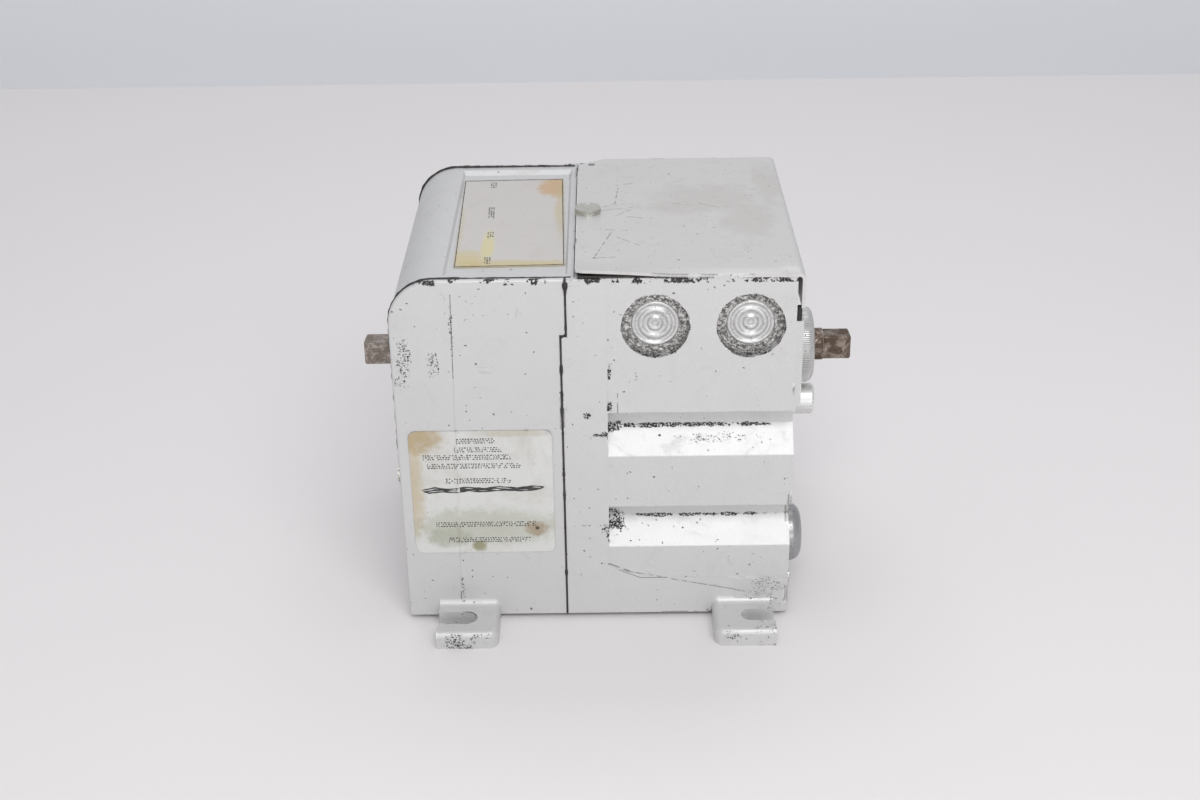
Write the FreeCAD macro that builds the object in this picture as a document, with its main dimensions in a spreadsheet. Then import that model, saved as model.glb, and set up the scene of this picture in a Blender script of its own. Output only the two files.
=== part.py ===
import FreeCAD, Part
import math
import os
import re

import Sketcher

"""Motorized valve actuator, a quarter-turn damper and valve motor in two castings.

Millimetres. X runs along the output shaft towards the power end, Y to the back and Z up.
The origin is under the middle of the output shaft, on the plane that the feet stand on.
"""

os.makedirs("parts", exist_ok=True)

SIZES = {
    # castings
    "gear_width": 61.4,
    "motor_width": 85.5,
    "body_depth": 121,
    "body_height": 141.5,
    "foot_drop": 2,
    "wall": 3.5,
    "corner_radius": 17,
    "gasket_thickness": 0.8,
    "gasket_lip": 0.2,
    "seam_jog": 2,
    "jog_height": 119.6,
    "rim": 2,
    "fit_gap": 0.3,
    "bay_ceiling": 106,
    "groove_depth": 8,
    "groove_rise": 10.1,
    "upper_groove_top": 87.6,
    "upper_groove_tall": 8.2,
    "lower_groove_top": 47.6,
    "lower_groove_tall": 7.7,
    "panel_inset": 16.6,
    "panel_step": 0.3,
    "panel_low": 21,
    "pad_height": 15.3,
    "pad_length": 20.5,
    "pad_step": 0.3,
    "rim_round": 0.8,
    "groove_round": 0.7,
    "boss_radius": 6,
    # feet
    "foot_reach": 20,
    "foot_height": 7,
    "foot_width": 23.5,
    "foot_round": 2.2,
    "foot_corner": 4,
    "foot_fillet": 2.5,
    "left_foot_inset": 11.9,
    "right_foot_inset": 5.7,
    "slot_width": 7.5,
    "slot_reach": 11,
    "right_slot_reach": 9.2,
    "slot_offset": 9.5,
    # output shaft
    "axis_height": 86.3,
    "left_shaft_out": 18.2,
    "right_shaft_out": 27.6,
    "shaft_radius": 6.35,
    "square_flats": 9.525,
    "right_square": 10.9,
    "rest_turn": -5.5,
    "running_gap": 0.03,
    "bush_wall": 3.15,
    "bush_flange": 2.5,
    "shaft_boss_wall": 2.5,
    "seal_length": 5,
    "left_boss_length": 15,
    "centre_boss_length": 7,
    "power_bush_length": 9,
    "dial_radius": 15.25,
    "dial_length": 12,
    "dial_gap": 0.5,
    "dial_teeth": 120,
    "dial_tooth_depth": 0.45,
    "dial_chamfer": 0.6,
    "dial_shoulder": 3,
    # covers
    "cover_thickness": 2.4,
    "cover_overhang": 5.1,
    "cover_groove": 0.4,
    "cover_low": 53,
    "plate_recess": 1,
    "plate_recess_left": 19.9,
    "plate_recess_right": 2.2,
    "plate_recess_side": 4,
    "recess_slope": 0.8,
    "recess_ramp": 3.6,
    "nameplate_length": 40.2,
    "nameplate_width": 90,
    "nameplate_thickness": 0.4,
    "nameplate_shift": -0.6,
    "nameplate_turn": 1.4,
    "nameplate_margin": 2.1,
    "label_length": 53.3,
    "label_height": 53,
    "label_low": 28.6,
    "label_inset": 4.2,
    "label_thickness": 0.2,
    "label_corner": 3,
    "sheet_thickness": 1.2,
    "sheet_gasket": 0.7,
    "sheet_corner": 2.5,
    "flange_drop": 13.4,
    "sheet_cut_length": 10,
    "sheet_cut_depth": 6,
    "cover_screw_inset": 4.4,
    "cover_hole_inset": 5.6,
    "cover_hole_side": 6.6,
    "cover_hole_radius": 1.5,
    "end_plate_thickness": 1.2,
    "end_plate_top": 124.2,
    "end_pad_step": 1.5,
    "end_pad_width": 10,
    "end_pad_low": 91,
    # knockouts
    "first_knockout": 34,
    "second_knockout": 68.2,
    "knockout_height": 122.7,
    "knockout_recess_radius": 12.3,
    "knockout_recess": 3,
    "knockout_radius": 8.7,
    "knockout_thickness": 1.4,
    "knockout_ledge": 1.3,
    "knockout_proud": 0.4,
    "knockout_backing": 2.5,
    # power end fittings
    "stub_radius": 6.2,
    "stub_length": 13.9,
    "stub_side": -3,
    "stub_height": 63.4,
    "cap_radius": 11.4,
    "cap_length": 6.4,
    "cap_side": -38.5,
    "cap_height": 22.6,
    "neck_shrink": 1.5,
    "neck_length": 4,
    # gear train
    "pinion_teeth": 12,
    "first_teeth": 60,
    "second_teeth": 54,
    "third_teeth": 48,
    "output_teeth": 80,
    "first_module": 0.5,
    "second_module": 0.6,
    "third_module": 0.8,
    "output_module": 1,
    "gear_face": 4,
    "output_face": 7,
    "layer_gap": 2,
    "backlash": 0.08,
    "third_turn": -137.5,
    "second_turn": -54.5,
    "first_turn": 35.5,
    "rotor_turn": -39,
    "arbor_radius": 2,
    "plate_thickness": 1.6,
    "first_plate_inset": 4,
    "plate_margin": 6.2,
    "pillar_radius": 3,
    # motor
    "rotor_radius": 15,
    "rotor_length": 26,
    "air_gap": 0.4,
    "stator_half": 31,
    "stator_length": 25,
    "stator_standoff": 18,
    "stator_slots": 12,
    "slot_radius": 2.4,
    "coil_height": 6,
    "coil_outer": 27,
    "coil_inner": 17.5,
    "motor_bolt_radius": 2,
    "motor_bolt_inset": 5.5,
    "motor_spacer_wall": 1.4,
    "bracket_gap": 9,
    "bracket_thickness": 2,
    # cams, switches and feedback
    "cam_radius": 11,
    "cam_lift": 0.9,
    "cam_face": 4,
    "cam_inset": 30,
    "cam_pitch": 9,
    "cam_lobe": 40,
    "stroke": 160,
    "nose_radius": 1.5,
    "nose_gap": 0.4,
    "lobe_margin": 1.5,
    "lever_arm": 17,
    "lever_thickness": 0.6,
    "lever_width": 3.6,
    "switch_gap": 1.2,
    "switch_width": 6.6,
    "switch_depth": 15,
    "switch_height": 20,
    "ring_outer": 17.2,
    "ring_inner": 14.6,
    "ring_face": 3,
    "ring_inset": 51,
    "wiper_thickness": 1,
    "bracket_wall": 2,
    # wiring bay
    "terminal_inset": 24,
    "terminal_length": 14,
    "terminal_width": 90,
    "terminal_height": 12,
    "terminal_count": 6,
    "terminal_pitch": 14,
    "relay_inset": 53,
    "relay_side": 10,
    "relay_length": 18,
    "relay_width": 36,
    "relay_plate": 1.5,
    "relay_coil_radius": 7,
    "relay_coil_height": 16,
    "relay_coil_offset": 10.5,
    "relay_pivot": 20.5,
    "relay_pin": 1,
    # power supply
    "core_inset": 64.2,
    "core_length": 13,
    "core_width": 34,
    "core_height": 34,
    "core_side": -23,
    "core_limb": 6,
    "capacitor_radius": 9,
    "capacitor_height": 40,
    "capacitor_side": 28,
    # screws
    "housing_screw_radius": 2.2,
    "cover_screw_radius": 2,
    "cover_screw_head": 5,
    "cover_screw_height": 2,
    "small_screw_radius": 1.6,
    "small_screw_head": 3,
    "small_screw_height": 2,
    "side_screw_height": 57.8,
    "side_screw_inset": 10,
    "screw_clearance": 0.2,
}

# places worked out from the sizes, as spreadsheet expressions
SHAFT_LENGTH = "(left_shaft_out + gear_width + motor_width + right_shaft_out)"
LEFT = f"(left_shaft_out - {SHAFT_LENGTH} / 2)"
SEAM = f"({LEFT} + gear_width)"
RIGHT = f"({SEAM} + motor_width)"
HALF = "(body_depth / 2)"
BOTTOM = "foot_drop"
TOP = "(foot_drop + body_height)"
AXIS = "(foot_drop + axis_height)"
RECESS = "(cover_thickness + 2 * fit_gap)"
JOG = "(foot_drop + jog_height)"
GEAR_SEAM = f"({SEAM} - gasket_thickness / 2)"
MOTOR_SEAM = f"({SEAM} + gasket_thickness / 2)"
PARTITION = f"({MOTOR_SEAM} + wall)"
MOTOR_END = f"({RIGHT} - end_plate_thickness)"
CEILING = "(foot_drop + bay_ceiling)"
SHELF = f"({CEILING} + wall)"
BAY_HALF = f"({HALF} - groove_depth - wall)"
FLOOR = "(foot_drop + wall)"
COVER_END = f"({SEAM} + cover_overhang)"
SHEET_START = f"({COVER_END} + cover_groove)"
SHEET_BOTTOM = f"({TOP} + sheet_gasket)"
SHEET_TOP = f"({SHEET_BOTTOM} + sheet_thickness)"
SHEET_END = f"({RIGHT} + fit_gap + sheet_thickness)"
WIRING_START = f"({SHEET_START} + wall)"
BUSH_RADIUS = "(shaft_radius + bush_wall)"
BOSS = f"({BUSH_RADIUS} + shaft_boss_wall)"
SEAL_RADIUS = f"({BUSH_RADIUS} + 0.5)"
LEFT_SLOT = f"({LEFT} + left_foot_inset + slot_reach)"
RIGHT_SLOT = f"({RIGHT} - right_foot_inset - right_slot_reach)"
SLOT_SIDE = f"({HALF} + slot_offset)"
LAYER_ONE = f"({SEAM} - first_plate_inset - plate_thickness - layer_gap - gear_face)"
LAYER_TWO = f"({LAYER_ONE} - layer_gap - gear_face)"
LAYER_THREE = f"({LAYER_TWO} - layer_gap - gear_face)"
OUTER_PLATE = f"({LAYER_THREE} - layer_gap - plate_thickness)"
OUTPUT_LAYER = f"({OUTER_PLATE} - layer_gap - output_face)"
ARBOR_END = f"({OUTPUT_LAYER} - 8)"

THIRD_SPAN = "((output_teeth + pinion_teeth) * output_module / 2)"
SECOND_SPAN = "((third_teeth + pinion_teeth) * third_module / 2)"
FIRST_SPAN = "((second_teeth + pinion_teeth) * second_module / 2)"
ROTOR_SPAN = "((first_teeth + pinion_teeth) * first_module / 2)"
THIRD_Y = f"({THIRD_SPAN} * cos(third_turn))"
THIRD_Z = f"({AXIS} + {THIRD_SPAN} * sin(third_turn))"
SECOND_Y = f"({THIRD_Y} + {SECOND_SPAN} * cos(second_turn))"
SECOND_Z = f"({THIRD_Z} + {SECOND_SPAN} * sin(second_turn))"
FIRST_Y = f"({SECOND_Y} + {FIRST_SPAN} * cos(first_turn))"
FIRST_Z = f"({SECOND_Z} + {FIRST_SPAN} * sin(first_turn))"
ROTOR_Y = f"({FIRST_Y} + {ROTOR_SPAN} * cos(rotor_turn))"
ROTOR_Z = f"({FIRST_Z} + {ROTOR_SPAN} * sin(rotor_turn))"

STATOR = f"({PARTITION} + stator_standoff)"
STATOR_END = f"({STATOR} + stator_length)"
BRACKET = f"({STATOR_END} + bracket_gap)"
CAM = f"({SEAM} + cam_inset)"
RING = f"({SEAM} + ring_inset)"
NOSE_SIDE = "(cam_radius + nose_gap + nose_radius)"
SWITCH_SIDE = "(cam_radius + nose_gap + 2 * nose_radius + switch_gap)"

SCREW_HEIGHTS = (f"({BOTTOM} + wall + 8)", f"({CEILING} - 8)")
COVER_SCREW_X = f"({SHEET_START} + cover_screw_inset)"
MOTOR_BOLTS = [
    (f"({ROTOR_Y} + {i} * (stator_half - motor_bolt_inset))",
     f"({ROTOR_Z} + {j} * (stator_half - motor_bolt_inset))")
    for i in (-1, 1) for j in (-1, 1)
]
END_SCREWS = [
    (f"({side} * ({BAY_HALF} - 4))", height)
    for side in (-1, 1) for height in (f"({FLOOR} + 3)", f"({CEILING} - 4)")
]

PRESSURE_ANGLE = math.radians(25)
ADDENDUM = 0.9
DEDENDUM = 1.15
WORD = re.compile(r"[a-z][a-z_]+")

doc = FreeCAD.newDocument("valve_actuator")
sheet = doc.addObject("Spreadsheet::Sheet", "sizes")
for row, (alias, size) in enumerate(SIZES.items(), start=1):
    sheet.set(f"A{row}", alias)
    sheet.set(f"B{row}", str(size))
    sheet.setAlias(f"B{row}", alias)
doc.recompute()

nodes = {}


# ---------------------------------------------------------------- expressions

def bound(text):
    """The expression with each size's alias pointed at the sheet."""
    return WORD.sub(lambda word: f"sizes.{word[0]}" if word[0] in SIZES else word[0], str(text))


def number(text):
    """The expression's value now."""
    return float(sheet.evalExpression(bound(text)))


def bind(item, name, text):
    item.setExpression(name, bound(text))


def mirrored(text, side):
    """The expression on the front side (-1) or the back side (1)."""
    return f"({side} * {text})"


# ---------------------------------------------------------------- sub-parts

def new_body(label):
    body = doc.addObject("PartDesign::Body", label)
    body.Label = label
    nodes[label] = body
    doc.recompute()
    return body


def place(item, x="0", y="0", z="0", turn=0.0):
    """Puts the item there, turned about the X axis by this many degrees."""
    item.Placement = FreeCAD.Placement(
        FreeCAD.Vector(), FreeCAD.Rotation(FreeCAD.Vector(1, 0, 0), turn)
    )
    for letter, text in zip("xyz", (x, y, z)):
        bind(item, f"Placement.Base.{letter}", text)


def node(label, item):
    item.Label = label
    nodes[label] = item
    return item


# ---------------------------------------------------------------- sketches

def new_sketch(body, role, offset):
    """A sketch on one of the body's own origin planes, moved along its normal."""
    plane = next(f for f in body.Origin.OriginFeatures if f.Role == role)
    drawing = body.newObject("Sketcher::SketchObject", "outline")
    drawing.AttachmentSupport = [(plane, "")]
    drawing.MapMode = "FlatFace"
    bind(drawing, "AttachmentOffset.Base.z", offset)
    return drawing


def pin_point(drawing, item, end, x, y):
    """Fixes a point of the geometry at two expressions."""
    for kind, text in (("DistanceX", x), ("DistanceY", y)):
        constraint = Sketcher.Constraint(kind, -1, 1, item, end, number(text))
        index = drawing.addConstraint(constraint)
        bind(drawing, f"Constraints[{index}]", text)


def bulge(start, end, radius):
    """The middle of the short arc between two points; a negative radius bends it the other way."""
    chord = end - start
    half = chord.Length / 2
    sagitta = abs(radius) - math.sqrt(max(radius * radius - half * half, 0))
    normal = FreeCAD.Vector(chord.y, -chord.x, 0).normalize()
    return (start + end) / 2 + normal * math.copysign(sagitta, radius)


def outline(body, role, points, offset="0"):
    """A closed outline. A point is (x, y), or (x, y, radius) if an arc leads up to it."""
    drawing = new_sketch(body, role, offset)
    spots = [FreeCAD.Vector(number(p[0]), number(p[1]), 0) for p in points]
    count = len(points)
    starts, ends = [1] * count, [2] * count
    for index, point in enumerate(points):
        start, end = spots[index - 1], spots[index]
        if len(point) == 2:
            drawing.addGeometry(Part.LineSegment(start, end))
            continue
        radius = number(point[2])
        middle = bulge(start, end, radius)
        if radius < 0:
            # a sketch keeps its arcs anticlockwise, so this one is drawn from its end
            starts[index], ends[index] = 2, 1
            start, end = end, start
        drawing.addGeometry(Part.Arc(start, middle, end))
    for index, point in enumerate(points):
        follower = (index + 1) % count
        drawing.addConstraint(
            Sketcher.Constraint("Coincident", index, ends[index], follower, starts[follower])
        )
        pin_point(drawing, index, ends[index], point[0], point[1])
        if len(point) == 3:
            radius = abs(number(point[2]))
            fixed = drawing.addConstraint(Sketcher.Constraint("Radius", index, radius))
            bind(drawing, f"Constraints[{fixed}]", f"abs({point[2]})")
    return drawing


def rectangle(body, role, x, y, offset="0"):
    """An upright rectangle between two x and two y expressions."""
    corners = [(x[0], y[0]), (x[1], y[0]), (x[1], y[1]), (x[0], y[1])]
    return outline(body, role, corners, offset)


def circles(body, role, rings, offset="0"):
    """Circles, each (x, y, radius); one inside another makes a ring."""
    drawing = new_sketch(body, role, offset)
    for index, (x, y, radius) in enumerate(rings):
        centre = FreeCAD.Vector(number(x), number(y), 0)
        drawing.addGeometry(Part.Circle(centre, FreeCAD.Vector(0, 0, 1), number(radius)))
        pin_point(drawing, index, 3, x, y)
        fixed = drawing.addConstraint(Sketcher.Constraint("Radius", index, number(radius)))
        bind(drawing, f"Constraints[{fixed}]", radius)
    return drawing


# ---------------------------------------------------------------- features

def pad(body, drawing, length, both=False, back=False):
    feature = body.newObject("PartDesign::Pad", "pad")
    feature.Profile = drawing
    bind(feature, "Length", length)
    feature.SideType = "Symmetric" if both else "One side"
    feature.Reversed = back
    body.Tip = feature
    doc.recompute()
    return feature


def pocket(body, drawing, length, both=False, back=False):
    """Cuts the outline away; by default against the sketch's normal."""
    before = body.Shape.Volume
    feature = body.newObject("PartDesign::Pocket", "pocket")
    feature.Profile = drawing
    bind(feature, "Length", length)
    feature.SideType = "Symmetric" if both else "One side"
    feature.Reversed = back
    body.Tip = feature
    doc.recompute()
    if body.Shape.Volume > before - 1e-6:
        raise ValueError(f"a pocket in {body.Label} cuts nothing")
    return feature


def sink(body, brim, floor):
    """Cuts a recess with sloping walls between two outlines."""
    feature = body.newObject("PartDesign::SubtractiveLoft", "sink")
    feature.Profile = brim
    feature.Sections = [floor]
    feature.Ruled = True
    body.Tip = feature
    doc.recompute()
    return feature


def polar(body, feature, drawing, count):
    """Repeats the feature about the sketch's normal."""
    pattern = body.newObject("PartDesign::PolarPattern", "ring")
    pattern.Originals = [feature]
    pattern.Axis = (drawing, ["N_Axis"])
    pattern.Angle = 360
    bind(pattern, "Occurrences", count)
    body.Tip = pattern
    doc.recompute()
    return pattern


def round_edges(body, radius, wanted, kind="Fillet"):
    """Rounds or chamfers the edges for which wanted(edge) is true."""
    base = body.Tip
    names = [f"Edge{i}" for i, edge in enumerate(base.Shape.Edges, 1) if wanted(edge)]
    feature = body.newObject(f"PartDesign::{kind}", kind.lower())
    feature.Base = (base, names)
    bind(feature, "Radius" if kind == "Fillet" else "Size", radius)
    body.Tip = feature
    doc.recompute()
    return feature


# ---------------------------------------------------------------- plain solids

TURNS = {
    "+x": FreeCAD.Rotation(FreeCAD.Vector(0, 1, 0), 90),
    "-x": FreeCAD.Rotation(FreeCAD.Vector(0, 1, 0), -90),
    "+y": FreeCAD.Rotation(FreeCAD.Vector(1, 0, 0), -90),
    "-y": FreeCAD.Rotation(FreeCAD.Vector(1, 0, 0), 90),
    "+z": FreeCAD.Rotation(),
}


def box(x, y, z):
    """A Part::Box between pairs of expressions."""
    solid = doc.addObject("Part::Box", "block")
    for name, letter, (low, high) in zip(("Length", "Width", "Height"), "xyz", (x, y, z)):
        bind(solid, name, f"{high} - {low}")
        bind(solid, f"Placement.Base.{letter}", low)
    return solid


def rod(start, way, radius, length, kind="Part::Cylinder"):
    """A Part::Cylinder from its start point along one of the axes."""
    solid = doc.addObject(kind, "rod")
    solid.Placement = FreeCAD.Placement(FreeCAD.Vector(), TURNS[way])
    bind(solid, "Radius", radius)
    bind(solid, "Height", length)
    for letter, text in zip("xyz", start):
        bind(solid, f"Placement.Base.{letter}", text)
    return solid


def fuse(*solids):
    if len(solids) == 1:
        return solids[0]
    joined = doc.addObject("Part::MultiFuse", "fuse")
    joined.Shapes = list(solids)
    return joined


def cut(base, *tools):
    for tool in tools:
        trimmed = doc.addObject("Part::Cut", "cut")
        trimmed.Base = base
        trimmed.Tool = tool
        base = trimmed
    return base


def group(label, solids):
    """Separate solids that share one node."""
    together = doc.addObject("Part::Compound", label)
    together.Links = list(solids)
    return node(label, together)


def tube(start, way, outer, inner, length):
    return cut(rod(start, way, outer, length), rod(start, way, inner, length))


def screw(head_start, way, radius, length, head_radius, head_height, slot=1.0):
    """A slotted cheese-head screw: its head stands outwards from head_start, its shank inwards."""
    out, back = way, {"+": "-", "-": "+"}[way[0]] + way[1]
    if back == "-z":
        shank_start = (head_start[0], head_start[1], f"({head_start[2]} - {length})")
        shank = rod(shank_start, "+z", radius, length)
    else:
        shank = rod(head_start, back, radius, length)
    head = rod(head_start, out, head_radius, head_height)
    letter = "xyz".index(way[1])
    sign = 1 if out[0] == "+" else -1
    spans = [(f"({c} - {head_radius} - 1)", f"({c} + {head_radius} + 1)") for c in head_start]
    tip = f"({head_start[letter]} + {sign} * {head_height})"
    floor = f"({head_start[letter]} + {sign} * {head_height} * 0.5)"
    spans[letter] = (floor, tip) if sign > 0 else (tip, floor)
    across = (letter + 1) % 3
    centre = head_start[across]
    spans[across] = (f"({centre} - {slot} / 2)", f"({centre} + {slot} / 2)")
    return cut(fuse(shank, head), box(*spans))


# ---------------------------------------------------------------- castings

def cover_recess(body, right):
    """The step in the top and the left end that the gear cover lies in."""
    step = f"({LEFT} + {RECESS})"
    bend = f"({LEFT} + corner_radius)"
    inner = f"(corner_radius - {RECESS})"
    shape = [
        (f"({LEFT} - 5)", f"({BOTTOM} + cover_low - fit_gap)"),
        (step, f"({BOTTOM} + cover_low - fit_gap)"),
        (step, f"({TOP} - corner_radius)"),
        (bend, f"({TOP} - {RECESS})", f"(-1 * {inner})"),
        (right, f"({TOP} - {RECESS})"),
        (right, f"({TOP} + 5)"),
        (f"({LEFT} - 5)", f"({TOP} + 5)"),
    ]
    pocket(body, outline(body, "XZ_Plane", shape), "body_depth - 2 * rim", both=True)


def foot(body, start, slot_centre, outwards):
    """Front and back feet with an open slot each, from x start; outwards is the slot's way out."""
    for side in (-1, 1):
        face = mirrored(HALF, side)
        tip = mirrored(f"({HALF} + foot_reach)", side)
        inside = mirrored(f"({HALF} - wall)", side)
        end = f"({start} + foot_width)"
        open_side, closed_side = (end, start) if outwards > 0 else (start, end)
        corner = f"({closed_side} + {outwards} * foot_corner)"
        turn = side * outwards
        shape = [
            (open_side, inside),
            (open_side, tip),
            (corner, tip),
            (closed_side, mirrored(f"({HALF} + foot_reach - foot_corner)", side),
             f"({turn} * foot_corner)"),
            (closed_side, inside),
        ]
        pad(body, outline(body, "XY_Plane", shape), "foot_height")
        blank, height = number(closed_side), number("foot_height")
        out, slot_side = abs(number(face)), number(open_side)

        def top_edge(edge):
            size = edge.BoundBox
            beyond = size.YMin * side > out - 1e-6 if side > 0 else size.YMax * side > out - 1e-6
            across = abs(size.XMin - slot_side) < 1e-6 and abs(size.XMax - slot_side) < 1e-6
            near = min(abs(size.XMin - blank), abs(size.XMax - blank), abs(size.XMin - slot_side),
                       abs(size.XMax - slot_side)) < 30
            level = abs(size.ZMin - height) < 1e-6 and abs(size.ZMax - height) < 1e-6
            return level and beyond and near and not across

        round_edges(body, "foot_round", top_edge)
        web = [
            (inside, "(foot_height - 1)"),
            (mirrored(f"({HALF} + foot_fillet)", side), "(foot_height - 1)"),
            (mirrored(f"({HALF} + foot_fillet)", side), "foot_height"),
            (face, "(foot_height + foot_fillet)", f"({-side} * foot_fillet)"),
            (inside, "(foot_height + foot_fillet)"),
        ]
        web_start = start if outwards < 0 else f"({start} + foot_round)"
        pad(body, outline(body, "YZ_Plane", web, web_start), "foot_width - foot_round")
        centre = mirrored(SLOT_SIDE, side)
        mouth = f"({slot_centre} + {outwards} * 2 * foot_width)"
        low, high = f"({centre} - slot_width / 2)", f"({centre} + slot_width / 2)"
        first, last = (low, high) if outwards > 0 else (high, low)
        slot = [(mouth, first), (mouth, last), (slot_centre, last),
                (f"({slot_centre} - {outwards} * slot_width / 2)", centre, "(slot_width / 2)"),
                (slot_centre, first, "(slot_width / 2)")]
        pocket(body, outline(body, "XY_Plane", slot, "foot_height + 1"), "foot_height + 2")


def gear_housing():
    body = new_body("gear_housing")
    shell = [
        (LEFT, BOTTOM),
        (LEFT, f"({TOP} - corner_radius)"),
        (f"({LEFT} + corner_radius)", TOP, "(-1 * corner_radius)"),
        (f"({GEAR_SEAM} + seam_jog)", TOP),
        (f"({GEAR_SEAM} + seam_jog)", f"({JOG} + gasket_thickness / 2)"),
        (GEAR_SEAM, f"({JOG} + gasket_thickness / 2)"),
        (GEAR_SEAM, BOTTOM),
    ]
    pad(body, outline(body, "XZ_Plane", shell), "body_depth", both=True)
    thick = f"({RECESS} + wall)"
    bend = f"(corner_radius - {thick})"
    cavity = [
        (f"({LEFT} + {thick})", FLOOR),
        (f"({LEFT} + {thick})", f"({TOP} - corner_radius)"),
        (f"({LEFT} + corner_radius)", f"({TOP} - {thick})", f"(-1 * {bend})"),
        (f"({SEAM} + 5)", f"({TOP} - {thick})"),
        (f"({SEAM} + 5)", FLOOR),
    ]
    pocket(body, outline(body, "XZ_Plane", cavity), "body_depth - 2 * wall", both=True)
    cover_recess(body, f"({SEAM} + 10)")
    foot(body, f"({LEFT} + left_foot_inset)", LEFT_SLOT, -1)
    boss = circles(body, "YZ_Plane", [("0", AXIS, BOSS)], LEFT)
    pad(body, boss, "left_boss_length")
    rear = f"({LEFT} + {thick} - 1)"
    arbor_boss = circles(body, "YZ_Plane", [(THIRD_Y, THIRD_Z, "(arbor_radius + 4)")], rear)
    pad(body, arbor_boss, f"{ARBOR_END} + 5 - {rear}")
    for side in (-1, 1):
        for height in SCREW_HEIGHTS:
            inner = mirrored(f"({BAY_HALF} - boss_radius * 2)", side)
            outer = mirrored(f"({HALF} - wall / 2)", side)
            low, high = f"({height} - boss_radius)", f"({height} + boss_radius)"
            lug = rectangle(body, "YZ_Plane", (inner, outer), (low, high), GEAR_SEAM)
            pad(body, lug, "2 * boss_radius", back=True)
            centre = mirrored(f"({BAY_HALF} - boss_radius)", side)
            hole = circles(body, "YZ_Plane", [(centre, height, "housing_screw_radius")], GEAR_SEAM)
            pocket(body, hole, "2 * boss_radius - 1", back=False)
    seal = circles(body, "YZ_Plane", [("0", AXIS, SEAL_RADIUS)], LEFT)
    pocket(body, seal, "seal_length", back=True)
    bush = circles(body, "YZ_Plane", [("0", AXIS, BUSH_RADIUS)], LEFT)
    pocket(body, bush, "left_boss_length + 1", back=True)
    socket = circles(body, "YZ_Plane", [(THIRD_Y, THIRD_Z, "(arbor_radius + running_gap)")],
                     f"({ARBOR_END} + 6)")
    pocket(body, socket, "7")
    for side in (-1, 1):
        centre = mirrored(f"({HALF} - side_screw_inset)", side)
        hole = circles(body, "YZ_Plane",
                       [(centre, f"({BOTTOM} + side_screw_height)", "small_screw_radius")], LEFT)
        pocket(body, hole, f"{RECESS} + wall + 1", back=True)
    left, top, half = number(LEFT), number(TOP), number(HALF)
    bend = number("corner_radius")

    def rim_edge(edge):
        size = edge.BoundBox
        if size.YLength > 1e-6 or abs(abs(size.YMin) - half) > 1e-6:
            return False
        on_top = size.ZMin > top - bend - 1e-6 and size.XMax < left + bend + 1e-6
        return size.XMax < left + 1e-6 or size.ZMin > top - 1e-6 or on_top

    round_edges(body, "rim_round", rim_edge)


def side_groove(body, top, tall, side):
    """A groove along one face: a flat ceiling and back, and a sloping floor."""
    face = mirrored(f"({HALF} + 2)", side)
    back = mirrored(f"({HALF} - groove_depth)", side)
    low = f"({top} - {tall})"
    shape = [
        (face, top),
        (back, top),
        (back, low),
        (mirrored(HALF, side), f"({low} - groove_rise)"),
        (face, f"({low} - groove_rise)"),
    ]
    start = f"({SEAM} + panel_inset)"
    pocket(body, outline(body, "YZ_Plane", shape, start), "motor_width", back=True)


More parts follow.
